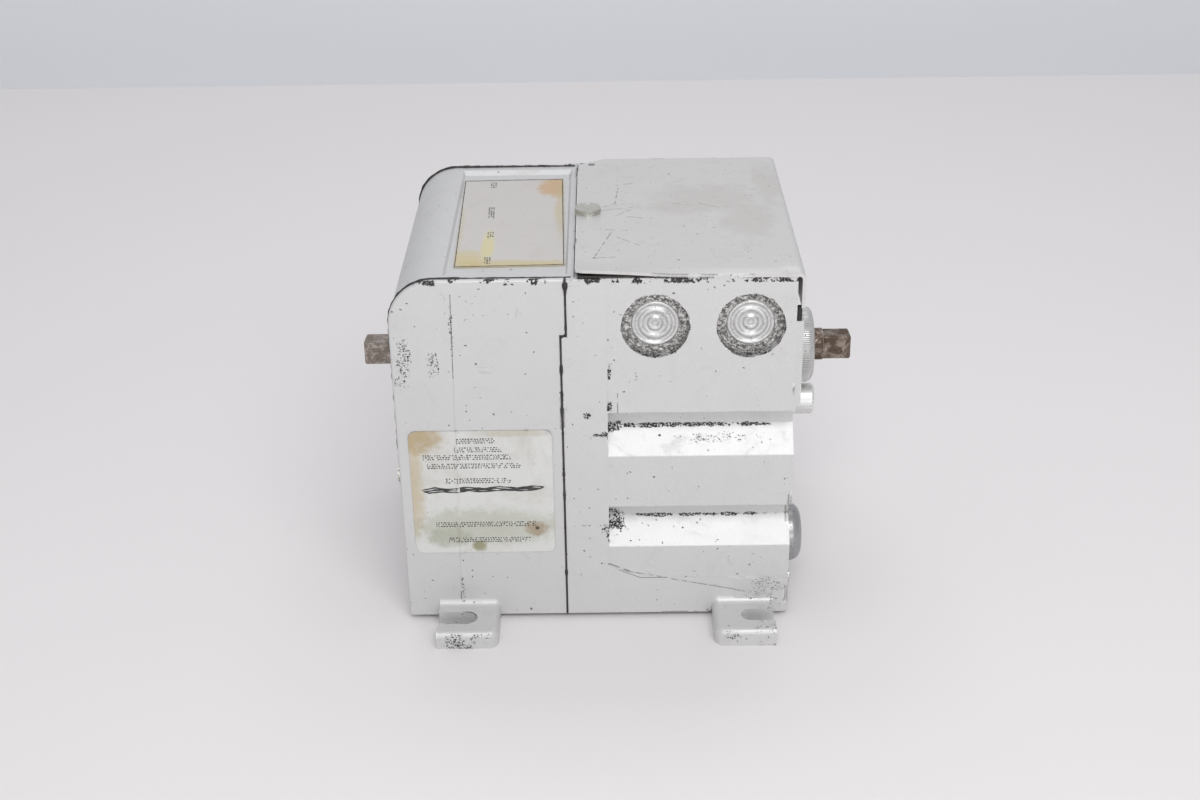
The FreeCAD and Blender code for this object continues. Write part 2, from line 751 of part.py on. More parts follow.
def motor_housing():
    body = new_body("motor_housing")
    shell = [
        (MOTOR_SEAM, BOTTOM),
        (MOTOR_SEAM, f"({JOG} - gasket_thickness / 2)"),
        (f"({MOTOR_SEAM} + seam_jog)", f"({JOG} - gasket_thickness / 2)"),
        (f"({MOTOR_SEAM} + seam_jog)", TOP),
        (MOTOR_END, TOP),
        (MOTOR_END, BOTTOM),
    ]
    pad(body, outline(body, "XZ_Plane", shell), "body_depth", both=True)
    bay = rectangle(body, "XZ_Plane", (PARTITION, f"({RIGHT} + 5)"), (FLOOR, CEILING))
    pocket(body, bay, f"2 * {BAY_HALF}", both=True)
    wiring = rectangle(body, "XZ_Plane", (WIRING_START, f"({MOTOR_END} - wall)"),
                       (SHELF, f"({TOP} + 5)"))
    pocket(body, wiring, "body_depth - 2 * wall", both=True)
    step = rectangle(body, "XZ_Plane", (f"({SEAM} - 5)", SHEET_START),
                     (f"({TOP} - {RECESS})", f"({TOP} + 5)"))
    pocket(body, step, "body_depth - 2 * rim", both=True)
    for side in (-1, 1):
        panel(body, side)
        side_groove(body, f"({BOTTOM} + upper_groove_top)", "upper_groove_tall", side)
        side_groove(body, f"({BOTTOM} + lower_groove_top)", "lower_groove_tall", side)
        knockout_holes(body, side)
    foot(body, f"({RIGHT} - right_foot_inset - foot_width)", RIGHT_SLOT, 1)
    boss = circles(body, "YZ_Plane", [("0", AXIS, BOSS)], PARTITION)
    pad(body, boss, "centre_boss_length")
    post = circles(body, "XY_Plane", [(COVER_SCREW_X, "0", "(cover_screw_radius + 2.5)")], SHELF)
    pad(body, post, f"{TOP} - {SHELF}")
    end_lugs(body)
    bush = circles(body, "YZ_Plane", [("0", AXIS, BUSH_RADIUS)], MOTOR_SEAM)
    pocket(body, bush, "wall + centre_boss_length", back=True)
    rotor = circles(body, "YZ_Plane", [(ROTOR_Y, ROTOR_Z, "(arbor_radius + 3)")], MOTOR_SEAM)
    pocket(body, rotor, "wall + 1", back=True)
    for side in (-1, 1):
        for height in SCREW_HEIGHTS:
            centre = mirrored(f"({BAY_HALF} - boss_radius)", side)
            hole = circles(body, "YZ_Plane", [(centre, height, "housing_screw_radius")], MOTOR_SEAM)
            pocket(body, hole, "wall + 1", back=True)
    for y, z in MOTOR_BOLTS:
        hole = circles(body, "YZ_Plane", [(y, z, "motor_bolt_radius")], PARTITION)
        pocket(body, hole, "wall - 1")
    tapped = circles(body, "XY_Plane", [(COVER_SCREW_X, "0", "cover_screw_radius")], TOP)
    pocket(body, tapped, "15")
    lead_slot = rectangle(body, "XY_Plane", (f"({RIGHT} - 25)", f"({RIGHT} - 10)"),
                          (f"({HALF} - 30)", f"({HALF} - 15)"), SHELF)
    pocket(body, lead_slot, "wall + 1")
    rough_pads(body)
    face = number(f"({HALF} - panel_step)")

    def groove_edge(edge):
        size = edge.BoundBox
        flat = size.YLength < 1e-6 and size.ZLength < 1e-6
        on_face = abs(abs(size.YMin) - face) < 1e-6
        return flat and on_face and size.XLength > 20 and 25 < size.ZMin < number(CEILING)

    round_edges(body, "groove_round", groove_edge)


def rough_pads(body):
    """A low pad at the foot of each side, at the power end."""
    for side in (-1, 1):
        spans = (mirrored(f"({HALF} - 1)", side), mirrored(f"({HALF} + pad_step)", side))
        drawing = rectangle(body, "YZ_Plane", spans, (BOTTOM, f"({BOTTOM} + pad_height)"), MOTOR_END)
        pad(body, drawing, "pad_length - end_plate_thickness", back=True)


def panel(body, side):
    """The shallow step of the side panel, which runs out at a slant near the bottom."""
    left = f"({SEAM} + panel_inset)"
    low = "(foot_drop + panel_low)"
    shape = [(left, f"({TOP} + 2)"), (left, low), (f"({left} + 12)", f"({low} - 5)"),
             (f"({RIGHT} + 5)", f"({low} - 5)"), (f"({RIGHT} + 5)", f"({TOP} + 2)")]
    drawing = outline(body, "XZ_Plane", shape, f"({-side} * ({HALF} - panel_step))")
    pocket(body, drawing, "panel_step + 1", back=side < 0)


def knockout_holes(body, side):
    """Two wiring entries: a boss behind each, a round step, the disc's seat, and the way through."""
    spots = (f"({SEAM} + first_knockout)", f"({SEAM} + second_knockout)")
    height = f"({BOTTOM} + knockout_height)"
    deep = "(panel_step + knockout_recess)"
    backing = [(x, height, "(knockout_recess_radius + knockout_ledge)") for x in spots]
    boss = circles(body, "XZ_Plane", backing, f"({-side} * ({HALF} - wall / 2))")
    pad(body, boss, "wall / 2 + knockout_backing", back=side < 0)
    cuts = (("knockout_recess_radius", deep),
            ("knockout_radius", f"{deep} + knockout_thickness"),
            ("(knockout_radius - knockout_ledge)", "wall + knockout_backing + 2"))
    for radius, depth in cuts:
        rings = [(x, height, radius) for x in spots]
        drawing = circles(body, "XZ_Plane", rings, f"({-side} * {HALF})")
        pocket(body, drawing, depth, back=side > 0)


def end_lugs(body):
    """Corner lugs that the power end plate screws into."""
    for y, z in END_SCREWS:
        sign = 1 if y.startswith("(1") else -1
        inner = mirrored(f"({BAY_HALF} - 8)", sign)
        outer = mirrored(f"({BAY_HALF} + wall / 2)", sign)
        lug = rectangle(body, "YZ_Plane", (inner, outer), (f"({z} - 4)", f"({z} + 4)"), MOTOR_END)
        pad(body, lug, "10", back=True)
        hole = circles(body, "YZ_Plane", [(y, z, "small_screw_radius")], MOTOR_END)
        pocket(body, hole, "8")


def housing_gasket():
    body = new_body("housing_gasket")
    half = "gasket_thickness / 2"
    strip = [
        (f"({SEAM} - {half})", BOTTOM),
        (f"({SEAM} - {half})", f"({JOG} + {half})"),
        (f"({SEAM} + seam_jog - {half})", f"({JOG} + {half})"),
        (f"({SEAM} + seam_jog - {half})", TOP),
        (f"({SEAM} + seam_jog + {half})", TOP),
        (f"({SEAM} + seam_jog + {half})", f"({JOG} - {half})"),
        (f"({SEAM} + {half})", f"({JOG} - {half})"),
        (f"({SEAM} + {half})", BOTTOM),
    ]
    pad(body, outline(body, "XZ_Plane", strip), "body_depth + 2 * gasket_lip", both=True)
    window = rectangle(body, "YZ_Plane", (f"(wall - {HALF})", f"({HALF} - wall)"),
                       (FLOOR, f"({TOP} - {RECESS} - wall)"), f"({SEAM} - 5)")
    pocket(body, window, "seam_jog + 10", back=True)
    lid = rectangle(body, "YZ_Plane", (f"(rim - {HALF})", f"({HALF} - rim)"),
                    (f"({TOP} - {RECESS})", f"({TOP} + 5)"), f"({SEAM} - 5)")
    pocket(body, lid, "seam_jog + 10", back=True)


# ---------------------------------------------------------------- covers and labels

def gear_cover():
    body = new_body("gear_cover")
    out, inn = f"({LEFT} + fit_gap)", f"({LEFT} + fit_gap + cover_thickness)"
    bend = f"({LEFT} + corner_radius)"
    top, under = f"({TOP} - fit_gap)", f"({TOP} - fit_gap - cover_thickness)"
    low = f"({BOTTOM} + cover_low)"
    shape = [
        (out, low),
        (out, f"({TOP} - corner_radius)"),
        (bend, top, "(-1 * (corner_radius - fit_gap))"),
        (COVER_END, top),
        (COVER_END, under),
        (bend, under),
        (inn, f"({TOP} - corner_radius)", "(corner_radius - fit_gap - cover_thickness)"),
        (inn, low),
    ]
    pad(body, outline(body, "XZ_Plane", shape), "body_depth - 2 * rim - 2 * fit_gap", both=True)
    side = f"({HALF} - rim - plate_recess_side)"
    left, right = f"({LEFT} + plate_recess_left)", f"({COVER_END} - plate_recess_right)"
    brim = rectangle(body, "XY_Plane", (left, right), (f"(-1 * {side})", side), top)
    floor = rectangle(body, "XY_Plane", (f"({left} + recess_slope)", f"({right} - recess_slope)"),
                      (f"(recess_slope - {side})", f"({side} - recess_ramp)"),
                      f"({top} - plate_recess)")
    sink(body, brim, floor)
    radius = f"({BOSS} + 1)"
    notch = [
        (radius, f"({low} - 2)"),
        (radius, AXIS),
        ("0", f"({AXIS} + {radius})", radius),
        (f"(-1 * {radius})", AXIS, radius),
        (f"(-1 * {radius})", f"({low} - 2)"),
    ]
    pocket(body, outline(body, "YZ_Plane", notch, f"({LEFT} - 1)"), "10", back=True)
    for side in (-1, 1):
        spot = (mirrored(f"({HALF} - side_screw_inset)", side),
                f"({BOTTOM} + side_screw_height)", "(small_screw_radius + screw_clearance)")
        pocket(body, circles(body, "YZ_Plane", [spot], f"({LEFT} - 1)"), "6", back=True)


def rounded_sheet(body, plane, x, y, radius, offset):
    """A rectangle with round corners."""
    (x0, x1), (y0, y1) = x, y
    shape = [
        (f"({x0} + {radius})", y0),
        (f"({x1} - {radius})", y0),
        (x1, f"({y0} + {radius})", radius),
        (x1, f"({y1} - {radius})"),
        (f"({x1} - {radius})", y1, radius),
        (f"({x0} + {radius})", y1),
        (x0, f"({y1} - {radius})", radius),
        (x0, f"({y0} + {radius})"),
        (f"({x0} + {radius})", y0, radius),
    ]
    return outline(body, plane, shape[1:], offset)


def nameplate():
    body = new_body("nameplate")
    reach, half = "nameplate_length / 2", "nameplate_width / 2"
    place(body, x=f"({LEFT} + plate_recess_left + nameplate_margin + {reach})",
          y="nameplate_shift", z=f"({TOP} - fit_gap - plate_recess)")
    body.Placement.Rotation = FreeCAD.Rotation(FreeCAD.Vector(0, 0, 1), number("nameplate_turn"))
    drawing = rounded_sheet(body, "XY_Plane", (f"(-1 * {reach})", reach),
                            (f"(-1 * {half})", half), "1", "0")
    pad(body, drawing, "nameplate_thickness")


def service_label():
    body = new_body("service_label")
    left = f"({LEFT} + label_inset)"
    low = f"({BOTTOM} + label_low)"
    drawing = rounded_sheet(body, "XZ_Plane", (left, f"({left} + label_length)"),
                            (low, f"({low} + label_height)"), "label_corner", HALF)
    pad(body, drawing, "label_thickness")


def wiring_cover():
    body = new_body("wiring_cover")
    low = f"({SHEET_TOP} - flange_drop)"
    shape = [
        (SHEET_START, SHEET_TOP),
        (f"({SHEET_END} - sheet_corner)", SHEET_TOP),
        (SHEET_END, f"({SHEET_TOP} - sheet_corner)", "(-1 * sheet_corner)"),
        (SHEET_END, low),
        (f"({SHEET_END} - sheet_thickness)", low),
        (f"({SHEET_END} - sheet_thickness)", f"({SHEET_TOP} - sheet_corner)"),
        (f"({SHEET_END} - sheet_corner)", SHEET_BOTTOM, "(sheet_corner - sheet_thickness)"),
        (SHEET_START, SHEET_BOTTOM),
    ]
    pad(body, outline(body, "XZ_Plane", shape), "body_depth", both=True)
    holes = [
        (COVER_SCREW_X, "0", "(cover_screw_radius + screw_clearance)"),
        (f"({SHEET_START} + cover_hole_inset)", f"({HALF} - cover_hole_side)",
         "cover_hole_radius"),
    ]
    pocket(body, circles(body, "XY_Plane", holes, f"({SHEET_TOP} + 1)"), "sheet_thickness + 2")
    clipped = [
        (f"({SHEET_START} - 1)", f"({HALF} + 1)"),
        (f"({SHEET_START} - 1)", f"({HALF} - sheet_cut_depth - 0.6)"),
        (f"({SHEET_START} + sheet_cut_length + 1.7)", f"({HALF} + 1)"),
    ]
    pocket(body, outline(body, "XY_Plane", clipped, f"({SHEET_TOP} + 1)"), "sheet_thickness + 2")
    start, front = number(SHEET_START), -number(HALF)

    def plan_corner(edge):
        size = edge.BoundBox
        upright = size.XLength < 1e-6 and size.YLength < 1e-6
        return upright and abs(size.YMin - front) < 1e-6 and abs(size.XMin - start) < 1e-6

    round_edges(body, "sheet_corner", plan_corner)


def wiring_cover_gasket():
    body = new_body("wiring_cover_gasket")
    inset = "1"
    outer = (f"({SHEET_START} + {inset})", f"({MOTOR_END} - {inset})")
    side = f"({HALF} - panel_step - {inset})"
    ring = rectangle(body, "XY_Plane", outer, (f"(-1 * {side})", side), TOP)
    pad(body, ring, "sheet_gasket")
    inner_side = f"({HALF} - wall)"
    window = rectangle(body, "XY_Plane", (WIRING_START, f"({MOTOR_END} - wall)"),
                       (f"(-1 * {inner_side})", inner_side), f"({TOP} + sheet_gasket)")
    pocket(body, window, "sheet_gasket + 1")
    hole = circles(body, "XY_Plane", [(COVER_SCREW_X, "0", "(cover_screw_radius + screw_clearance)")],
                   f"({TOP} + sheet_gasket)")
    pocket(body, hole, "sheet_gasket + 1")


def power_end_plate():
    body = new_body("power_end_plate")
    back = f"({HALF} - groove_depth)"
    right_side = [(f"({HALF} - panel_step)", BOTTOM)]
    for top, tall in (("lower_groove_top", "lower_groove_tall"),
                      ("upper_groove_top", "upper_groove_tall")):
        level = f"({BOTTOM} + {top})"
        low = f"({level} - {tall})"
        slope = f"({low} - groove_rise * (1 - panel_step / groove_depth))"
        right_side += [(f"({HALF} - panel_step)", slope), (back, low), (back, level),
                       (f"({HALF} - panel_step)", level)]
    right_side.append((f"({HALF} - panel_step)", "(foot_drop + end_plate_top)"))
    left_side = [(f"(-1 * {y})", z) for y, z in reversed(right_side)]
    pad(body, outline(body, "YZ_Plane", right_side + left_side, MOTOR_END), "end_plate_thickness")
    for side in (-1, 1):
        spans = (mirrored(f"({HALF} - panel_step - end_pad_width)", side),
                 mirrored(f"({HALF} - panel_step)", side))
        raised = rectangle(body, "YZ_Plane", spans,
                           (f"({BOTTOM} + end_pad_low)", f"({BOTTOM} + end_plate_top)"), RIGHT)
        pad(body, raised, "end_pad_step")
    holes = [("0", AXIS, BUSH_RADIUS)]
    holes += [("stub_side", f"({BOTTOM} + stub_height)", "(stub_radius - neck_shrink)")]
    holes += [("cap_side", f"({BOTTOM} + cap_height)", "(cap_radius - 3 * neck_shrink)")]
    holes += [(y, z, "(small_screw_radius + screw_clearance)") for y, z in END_SCREWS]
    pocket(body, circles(body, "YZ_Plane", holes, f"({MOTOR_END} - 1)"),
           "end_plate_thickness + 2", back=True)


# ---------------------------------------------------------------- output shaft

def main_shaft():
    body = new_body("main_shaft")
    place(body, z=AXIS, turn=number("rest_turn"))
    start = f"({SHAFT_LENGTH} / -2)"
    pad(body, circles(body, "YZ_Plane", [("0", "0", "shaft_radius")], start), SHAFT_LENGTH)
    end = f"({SHAFT_LENGTH} / 2)"
    flat = "square_flats / 2"
    for offset, length, back in ((start, "left_shaft_out", True), (end, "right_square", False)):
        for turn in range(4):
            near, far = f"({flat})", "(shaft_radius + 2)"
            spans = (((near, far), (f"(-1 * {far})", far)), ((f"(-1 * {far})", far), (near, far)),
                     ((f"(-1 * {far})", f"(-1 * {near})"), (f"(-1 * {far})", far)),
                     ((f"(-1 * {far})", far), (f"(-1 * {far})", f"(-1 * {near})")))[turn]
            flat_cut = rectangle(body, "YZ_Plane", spans[0], spans[1], offset)
            pocket(body, flat_cut, length, back=back)
    tip = number(end)

    def end_edge(edge):
        return abs(edge.BoundBox.XMax - edge.BoundBox.XMin) < 1e-6 and abs(
            abs(edge.BoundBox.XMin) - tip) < 1e-6

    round_edges(body, "0.5", end_edge, "Chamfer")


def bush(label, start, length, flange_start):
    """A plain bush with a flange, running on the output shaft."""
    bore = "(shaft_radius + running_gap)"
    sleeve = tube((start, "0", AXIS), "+x", BUSH_RADIUS, bore, length)
    flange = tube((flange_start, "0", AXIS), "+x", f"({BUSH_RADIUS} + 2)", bore, "bush_flange")
    node(label, fuse(sleeve, flange))


def seals():
    start = f"({LEFT} + 0.5)"
    node("left_shaft_seal", tube((start, "0", AXIS), "+x", SEAL_RADIUS,
                                 "(shaft_radius + 2 * running_gap)", "seal_length - 0.5"))
    node("rotor_seal", tube((MOTOR_SEAM, ROTOR_Y, ROTOR_Z), "+x", "(arbor_radius + 3)",
                            "(arbor_radius + running_gap)", "wall"))


def serrated_dial():
    body = new_body("serrated_dial")
    place(body, x=f"({RIGHT} + dial_gap)", z=AXIS)
    hub = circles(body, "YZ_Plane", [("0", "0", "dial_radius"), ("0", "0", "shaft_radius")])
    pad(body, hub, "dial_length")

    def rim_edge(edge, far):
        size = edge.BoundBox
        outer = abs(size.YLength / 2 - number("dial_radius")) < 1e-6
        return size.XLength < 1e-6 and outer and (size.XMin > 1) == far

    round_edges(body, "dial_chamfer", lambda edge: rim_edge(edge, False), "Chamfer")
    round_edges(body, "dial_shoulder", lambda edge: rim_edge(edge, True))
    depth, half = "dial_tooth_depth", "(0.26 * 2 * 3.14159 * dial_radius / dial_teeth)"
    notch = [("(dial_radius + 0.2)", half), (f"(dial_radius - {depth})", "0"),
             ("(dial_radius + 0.2)", f"(-1 * {half})")]
    drawing = outline(body, "YZ_Plane", notch, "dial_length")
    polar(body, pocket(body, drawing, "dial_length"), drawing, "dial_teeth")


# ---------------------------------------------------------------- gears

def involute(ratio):
    """The involute function of a point whose radius is the base radius times ratio."""
    angle = math.acos(min(1.0, 1.0 / ratio))
    return math.tan(angle) - angle


def tooth_space(body, teeth, module, offset):
    """One space between two teeth, centred on the sketch's first axis."""
    count, size = number(teeth), number(module)
    pitch = count * size / 2
    base = pitch * math.cos(PRESSURE_ANGLE)
    tip, root = pitch + ADDENDUM * size, pitch - DEDENDUM * size
    tooth = (math.pi * size - number("backlash")) / 2

    def spot(radius, side):
        grown = involute(pitch / base) - involute(max(radius, base) / base)
        half = math.pi / count - tooth / (2 * pitch) - grown
        return FreeCAD.Vector(radius * math.cos(half), side * radius * math.sin(half), 0)

    start = max(root, base)
    drawing = new_sketch(body, "YZ_Plane", offset)
    middle = (start + tip) / 2
    beyond = tip + size
    for side in (-1, 1):
        if start > root:
            drawing.addGeometry(Part.LineSegment(spot(root, side), spot(start, side)))
        drawing.addGeometry(Part.Arc(spot(start, side), spot(middle, side), spot(tip, side)))
        outer = spot(tip, side)
        drawing.addGeometry(
            Part.LineSegment(outer, FreeCAD.Vector(beyond, outer.y, 0)))
    edge = spot(tip, 1).y
    drawing.addGeometry(
        Part.LineSegment(FreeCAD.Vector(beyond, edge, 0), FreeCAD.Vector(beyond, -edge, 0)))
    drawing.addGeometry(Part.LineSegment(spot(root, 1), spot(root, -1)))
    for index in range(drawing.GeometryCount):
        drawing.addConstraint(Sketcher.Constraint("Block", index))
    return drawing


def cut_teeth(body, teeth, module, face, offset):
    drawing = tooth_space(body, teeth, module, offset)
    space = pocket(body, drawing, face, back=True)
    polar(body, space, drawing, teeth)


def gear(label, teeth, module, face, bore, spot, turn):
    """A spur gear on its shaft; turn puts a tooth space at that angle from the Y axis."""
    body = new_body(label)
    place(body, *spot, turn=turn)
    tip = f"({module} * ({teeth} / 2 + {ADDENDUM}))"
    pad(body, circles(body, "YZ_Plane", [("0", "0", tip), ("0", "0", bore)]), face)
    cut_teeth(body, teeth, module, face, "0")


def pinion_arbor(label, module, face, spot, pinion_start, ends, turn, radius="arbor_radius"):
    """A shaft with its pinion cut from the solid; turn puts a tooth towards that angle."""
    body = new_body(label)
    half_pitch = 180 / number("pinion_teeth")
    place(body, *spot, turn=turn + half_pitch)
    tip = f"({module} * (pinion_teeth / 2 + {ADDENDUM}))"
    pad(body, circles(body, "YZ_Plane", [("0", "0", tip)], pinion_start), face)
    cut_teeth(body, "pinion_teeth", module, face, pinion_start)
    drawing = circles(body, "YZ_Plane", [("0", "0", radius)], ends[0])
    pad(body, drawing, f"{ends[1]} - {ends[0]}")


def gear_train():
    turns = {name: number(f"{name}_turn") for name in ("third", "second", "first", "rotor")}
    gear("output_gear", "output_teeth", "output_module", "output_face", "shaft_radius",
         (OUTPUT_LAYER, "0", AXIS), turns["third"])
    gear("third_gear", "third_teeth", "third_module", "gear_face", "arbor_radius",
         (LAYER_THREE, THIRD_Y, THIRD_Z), turns["second"])
    gear("second_gear", "second_teeth", "second_module", "gear_face", "arbor_radius",
         (LAYER_TWO, SECOND_Y, SECOND_Z), turns["first"])
    gear("first_gear", "first_teeth", "first_module", "gear_face", "arbor_radius",
         (LAYER_ONE, FIRST_Y, FIRST_Z), turns["rotor"])
    inner_end = f"({SEAM} - first_plate_inset)"
    pinion_arbor("third_arbor", "output_module", "output_face", ("0", THIRD_Y, THIRD_Z),
                 OUTPUT_LAYER, (ARBOR_END, inner_end), turns["third"] + 180)
    pinion_arbor("second_arbor", "third_module", "gear_face", ("0", SECOND_Y, SECOND_Z),
                 LAYER_THREE, (OUTER_PLATE, inner_end), turns["second"] + 180)
    pinion_arbor("first_arbor", "second_module", "gear_face", ("0", FIRST_Y, FIRST_Z),
                 LAYER_TWO, (OUTER_PLATE, inner_end), turns["first"] + 180)
    pinion_arbor("rotor_shaft", "first_module", "gear_face", ("0", ROTOR_Y, ROTOR_Z),
                 LAYER_ONE, (LAYER_ONE, f"({BRACKET} + bracket_thickness + 2)"),
                 turns["rotor"] + 180)


PLATE_PILLARS = [
    (f"({THIRD_Y} - 16)", f"({THIRD_Z} - 24)"),
    (f"({THIRD_Y} - 14)", f"({THIRD_Z} + 27)"),
    (f"({ROTOR_Y} + 16)", f"({ROTOR_Z} - 18)"),
    (f"({ROTOR_Y} + 16)", f"({ROTOR_Z} + 16)"),
]


def gear_plates():
    """Two plates that carry the arbors, on pillars that stand on the partition."""
    hole = "(arbor_radius + running_gap)"
    (first_y, first_z), (second_y, second_z), (third_y, third_z), (last_y, last_z) = PLATE_PILLARS
    corners = [
        (f"({first_y} - plate_margin)", f"({first_z} - plate_margin)"),
        (f"({third_y} + plate_margin)", f"({third_z} - plate_margin)"),
        (f"({last_y} + plate_margin)", f"({last_z} + plate_margin)"),
        (f"({second_y} + plate_margin)", f"({second_z} + plate_margin)"),
        (f"({first_y} - plate_margin)", f"({second_z} + plate_margin)"),
    ]
    arbors = [(THIRD_Y, THIRD_Z, hole), (SECOND_Y, SECOND_Z, hole), (FIRST_Y, FIRST_Z, hole)]
    screws = [(y, z, "small_screw_radius") for y, z in PLATE_PILLARS]
    clearance = [(ROTOR_Y, ROTOR_Z, "(arbor_radius + 2)")]
    inner = f"({SEAM} - first_plate_inset - plate_thickness)"
    for label, start, holes in (("inner_gear_plate", inner, arbors + screws + clearance),
                                ("outer_gear_plate", OUTER_PLATE, arbors + screws)):
        body = new_body(label)
        pad(body, outline(body, "YZ_Plane", corners, start), "plate_thickness")
        drawing = circles(body, "YZ_Plane", holes, f"({start} - 1)")
        pocket(body, drawing, "plate_thickness + 2", back=True)
    sleeves = []
    for y, z in PLATE_PILLARS:
        for low, high in ((f"({OUTER_PLATE} + plate_thickness)", inner),
                          (f"({inner} + plate_thickness)", MOTOR_SEAM)):
            sleeves.append(tube((low, y, z), "+x", "pillar_radius", "small_screw_radius",
                                f"{high} - {low}"))
    group("gear_pillars", sleeves)
    screws = [screw((OUTER_PLATE, y, z), "-x", "small_screw_radius",
                    f"({MOTOR_SEAM} - {OUTER_PLATE})", "small_screw_head", "small_screw_height")
              for y, z in PLATE_PILLARS]
    group("gear_plate_screws", screws)


# ---------------------------------------------------------------- motor

def motor():
    centre = (ROTOR_Y, ROTOR_Z)
    start = f"({STATOR} + (stator_length - rotor_length) / 2)"
    node("rotor_core", tube((start, *centre), "+x", "rotor_radius", "arbor_radius",
                            "rotor_length"))
    body = new_body("stator_core")
    place(body, x=STATOR, y=ROTOR_Y, z=ROTOR_Z)
    half = ("(-1 * stator_half)", "stator_half")
    pad(body, rounded_sheet(body, "YZ_Plane", half, half, "6", "0"), "stator_length")
    bore = "(rotor_radius + air_gap)"
    pocket(body, circles(body, "YZ_Plane", [("0", "0", bore)]), "stator_length", back=True)
    drawing = circles(body, "YZ_Plane", [(f"({bore} + slot_radius * 0.6)", "0", "slot_radius")])
    polar(body, pocket(body, drawing, "stator_length", back=True), drawing, "stator_slots")
    reach = "(stator_half - motor_bolt_inset)"
    holes = [(f"({i} * {reach})", f"({j} * {reach})", "motor_bolt_radius")
             for i in (-1, 1) for j in (-1, 1)]
    pocket(body, circles(body, "YZ_Plane", holes), "stator_length", back=True)
    rings = [tube((x, *centre), "+x", "coil_outer", "coil_inner", "coil_height")
             for x in (f"({STATOR} - coil_height)", STATOR_END)]
    group("stator_coils", rings)
    bracket = box((BRACKET, f"({BRACKET} + bracket_thickness)"),
                  (f"({ROTOR_Y} - stator_half)", f"({ROTOR_Y} + stator_half)"),
                  (f"({ROTOR_Z} - stator_half)", f"({ROTOR_Z} + stator_half)"))
    tools = [rod((BRACKET, y, z), "+x", "motor_bolt_radius", "bracket_thickness")
             for y, z in MOTOR_BOLTS]
    tools.append(rod((BRACKET, *centre), "+x", "(arbor_radius + 3)", "bracket_thickness"))
    node("motor_bracket", cut(bracket, fuse(*tools)))
    node("rotor_bearing", tube((f"({BRACKET} - 1)", *centre), "+x", "(arbor_radius + 3)",
                               "(arbor_radius + running_gap)", "bracket_thickness + 1"))
    sleeves = []
    for y, z in MOTOR_BOLTS:
        for low, high in ((PARTITION, STATOR), (STATOR_END, BRACKET)):
            sleeves.append(tube((low, y, z), "+x", "(motor_bolt_radius + motor_spacer_wall)",
                                "motor_bolt_radius", f"{high} - {low}"))
    group("motor_spacers", sleeves)
    head = f"({BRACKET} + bracket_thickness)"
    bolts = [screw((head, y, z), "+x", "motor_bolt_radius", f"({head} - {PARTITION} + wall - 1.5)",
                   "small_screw_head", "small_screw_height") for y, z in MOTOR_BOLTS]
    group("motor_bolts", bolts)


# ---------------------------------------------------------------- cams, switches, feedback

def sector(start, turn, radius, sweep, length):
    """Part of a disc about the output shaft, from this angle to the Y axis."""
    solid = rod((start, "0", AXIS), "+x", radius, length)
    bind(solid, "Angle", sweep)
    first = FreeCAD.Rotation(FreeCAD.Vector(1, 0, 0), number(turn))
    solid.Placement = FreeCAD.Placement(solid.Placement.Base, first * TURNS["+x"])
    return solid


def cams_and_switches():
    bead = f"(asin(nose_radius / {NOSE_SIDE}) / 1deg + lobe_margin)"
    # a Part::Cylinder's sweep starts on -Z once its axis lies along X, and Y is a quarter turn on
    first = f"({bead} + 90)"
    second = f"(90 - {bead} - stroke - cam_lobe)"
    cams = []
    for index, turn in enumerate((first, second)):
        start = f"({CAM} + {index} * cam_pitch)"
        disc = rod((start, "0", AXIS), "+x", "cam_radius", "cam_face")
        lobe = sector(start, turn, "(cam_radius + nose_gap + cam_lift)", "cam_lobe", "cam_face")
        cams.append(cut(fuse(disc, lobe), rod((start, "0", AXIS), "+x", "shaft_radius",
                                              "cam_face")))
    group("limit_cams", cams)
    blocks = []
    for index, name in enumerate(("closed", "open")):
        middle = f"({CAM} + {index} * cam_pitch + cam_face / 2)"
        blocks.append(limit_switch(middle))
        switch_lever(f"{name}_switch_lever", middle)
    group("limit_switches", blocks)
    wall_side = f"({SWITCH_SIDE} + switch_depth)"
    plate = box((f"({CAM} - 4)", f"({RING} + ring_face)"),
                (wall_side, f"({wall_side} + bracket_wall)"),
                (f"({AXIS} - lever_arm - 2)", CEILING))
    arm = box((RING, f"({RING} + ring_face)"), ("(ring_outer - 0.5)", wall_side),
              (f"({AXIS} - 3)", f"({AXIS} + 3)"))
    ring_cut = rod((RING, "0", AXIS), "+x", "ring_outer", "ring_face")
    node("switch_bracket", cut(fuse(plate, arm), ring_cut))
    node("feedback_winding", tube((RING, "0", AXIS), "+x", "ring_outer", "ring_inner",
                                  "ring_face"))
    hub_start = f"({RING} + ring_face + fit_gap)"
    hub = rod((hub_start, "0", AXIS), "+x", "(shaft_radius + 2)", "2 * wiper_thickness")
    arm = box((hub_start, f"({hub_start} + wiper_thickness)"), ("-2", "2"),
              (f"({AXIS} - ring_outer + 0.6)", AXIS))
    node("wiper_arm", cut(fuse(hub, arm), rod((hub_start, "0", AXIS), "+x", "shaft_radius",
                                              "2 * wiper_thickness")))


HINGE_Z = f"({AXIS} - lever_arm)"
HINGE_Y = f"({NOSE_SIDE} + nose_radius - lever_thickness / 2)"


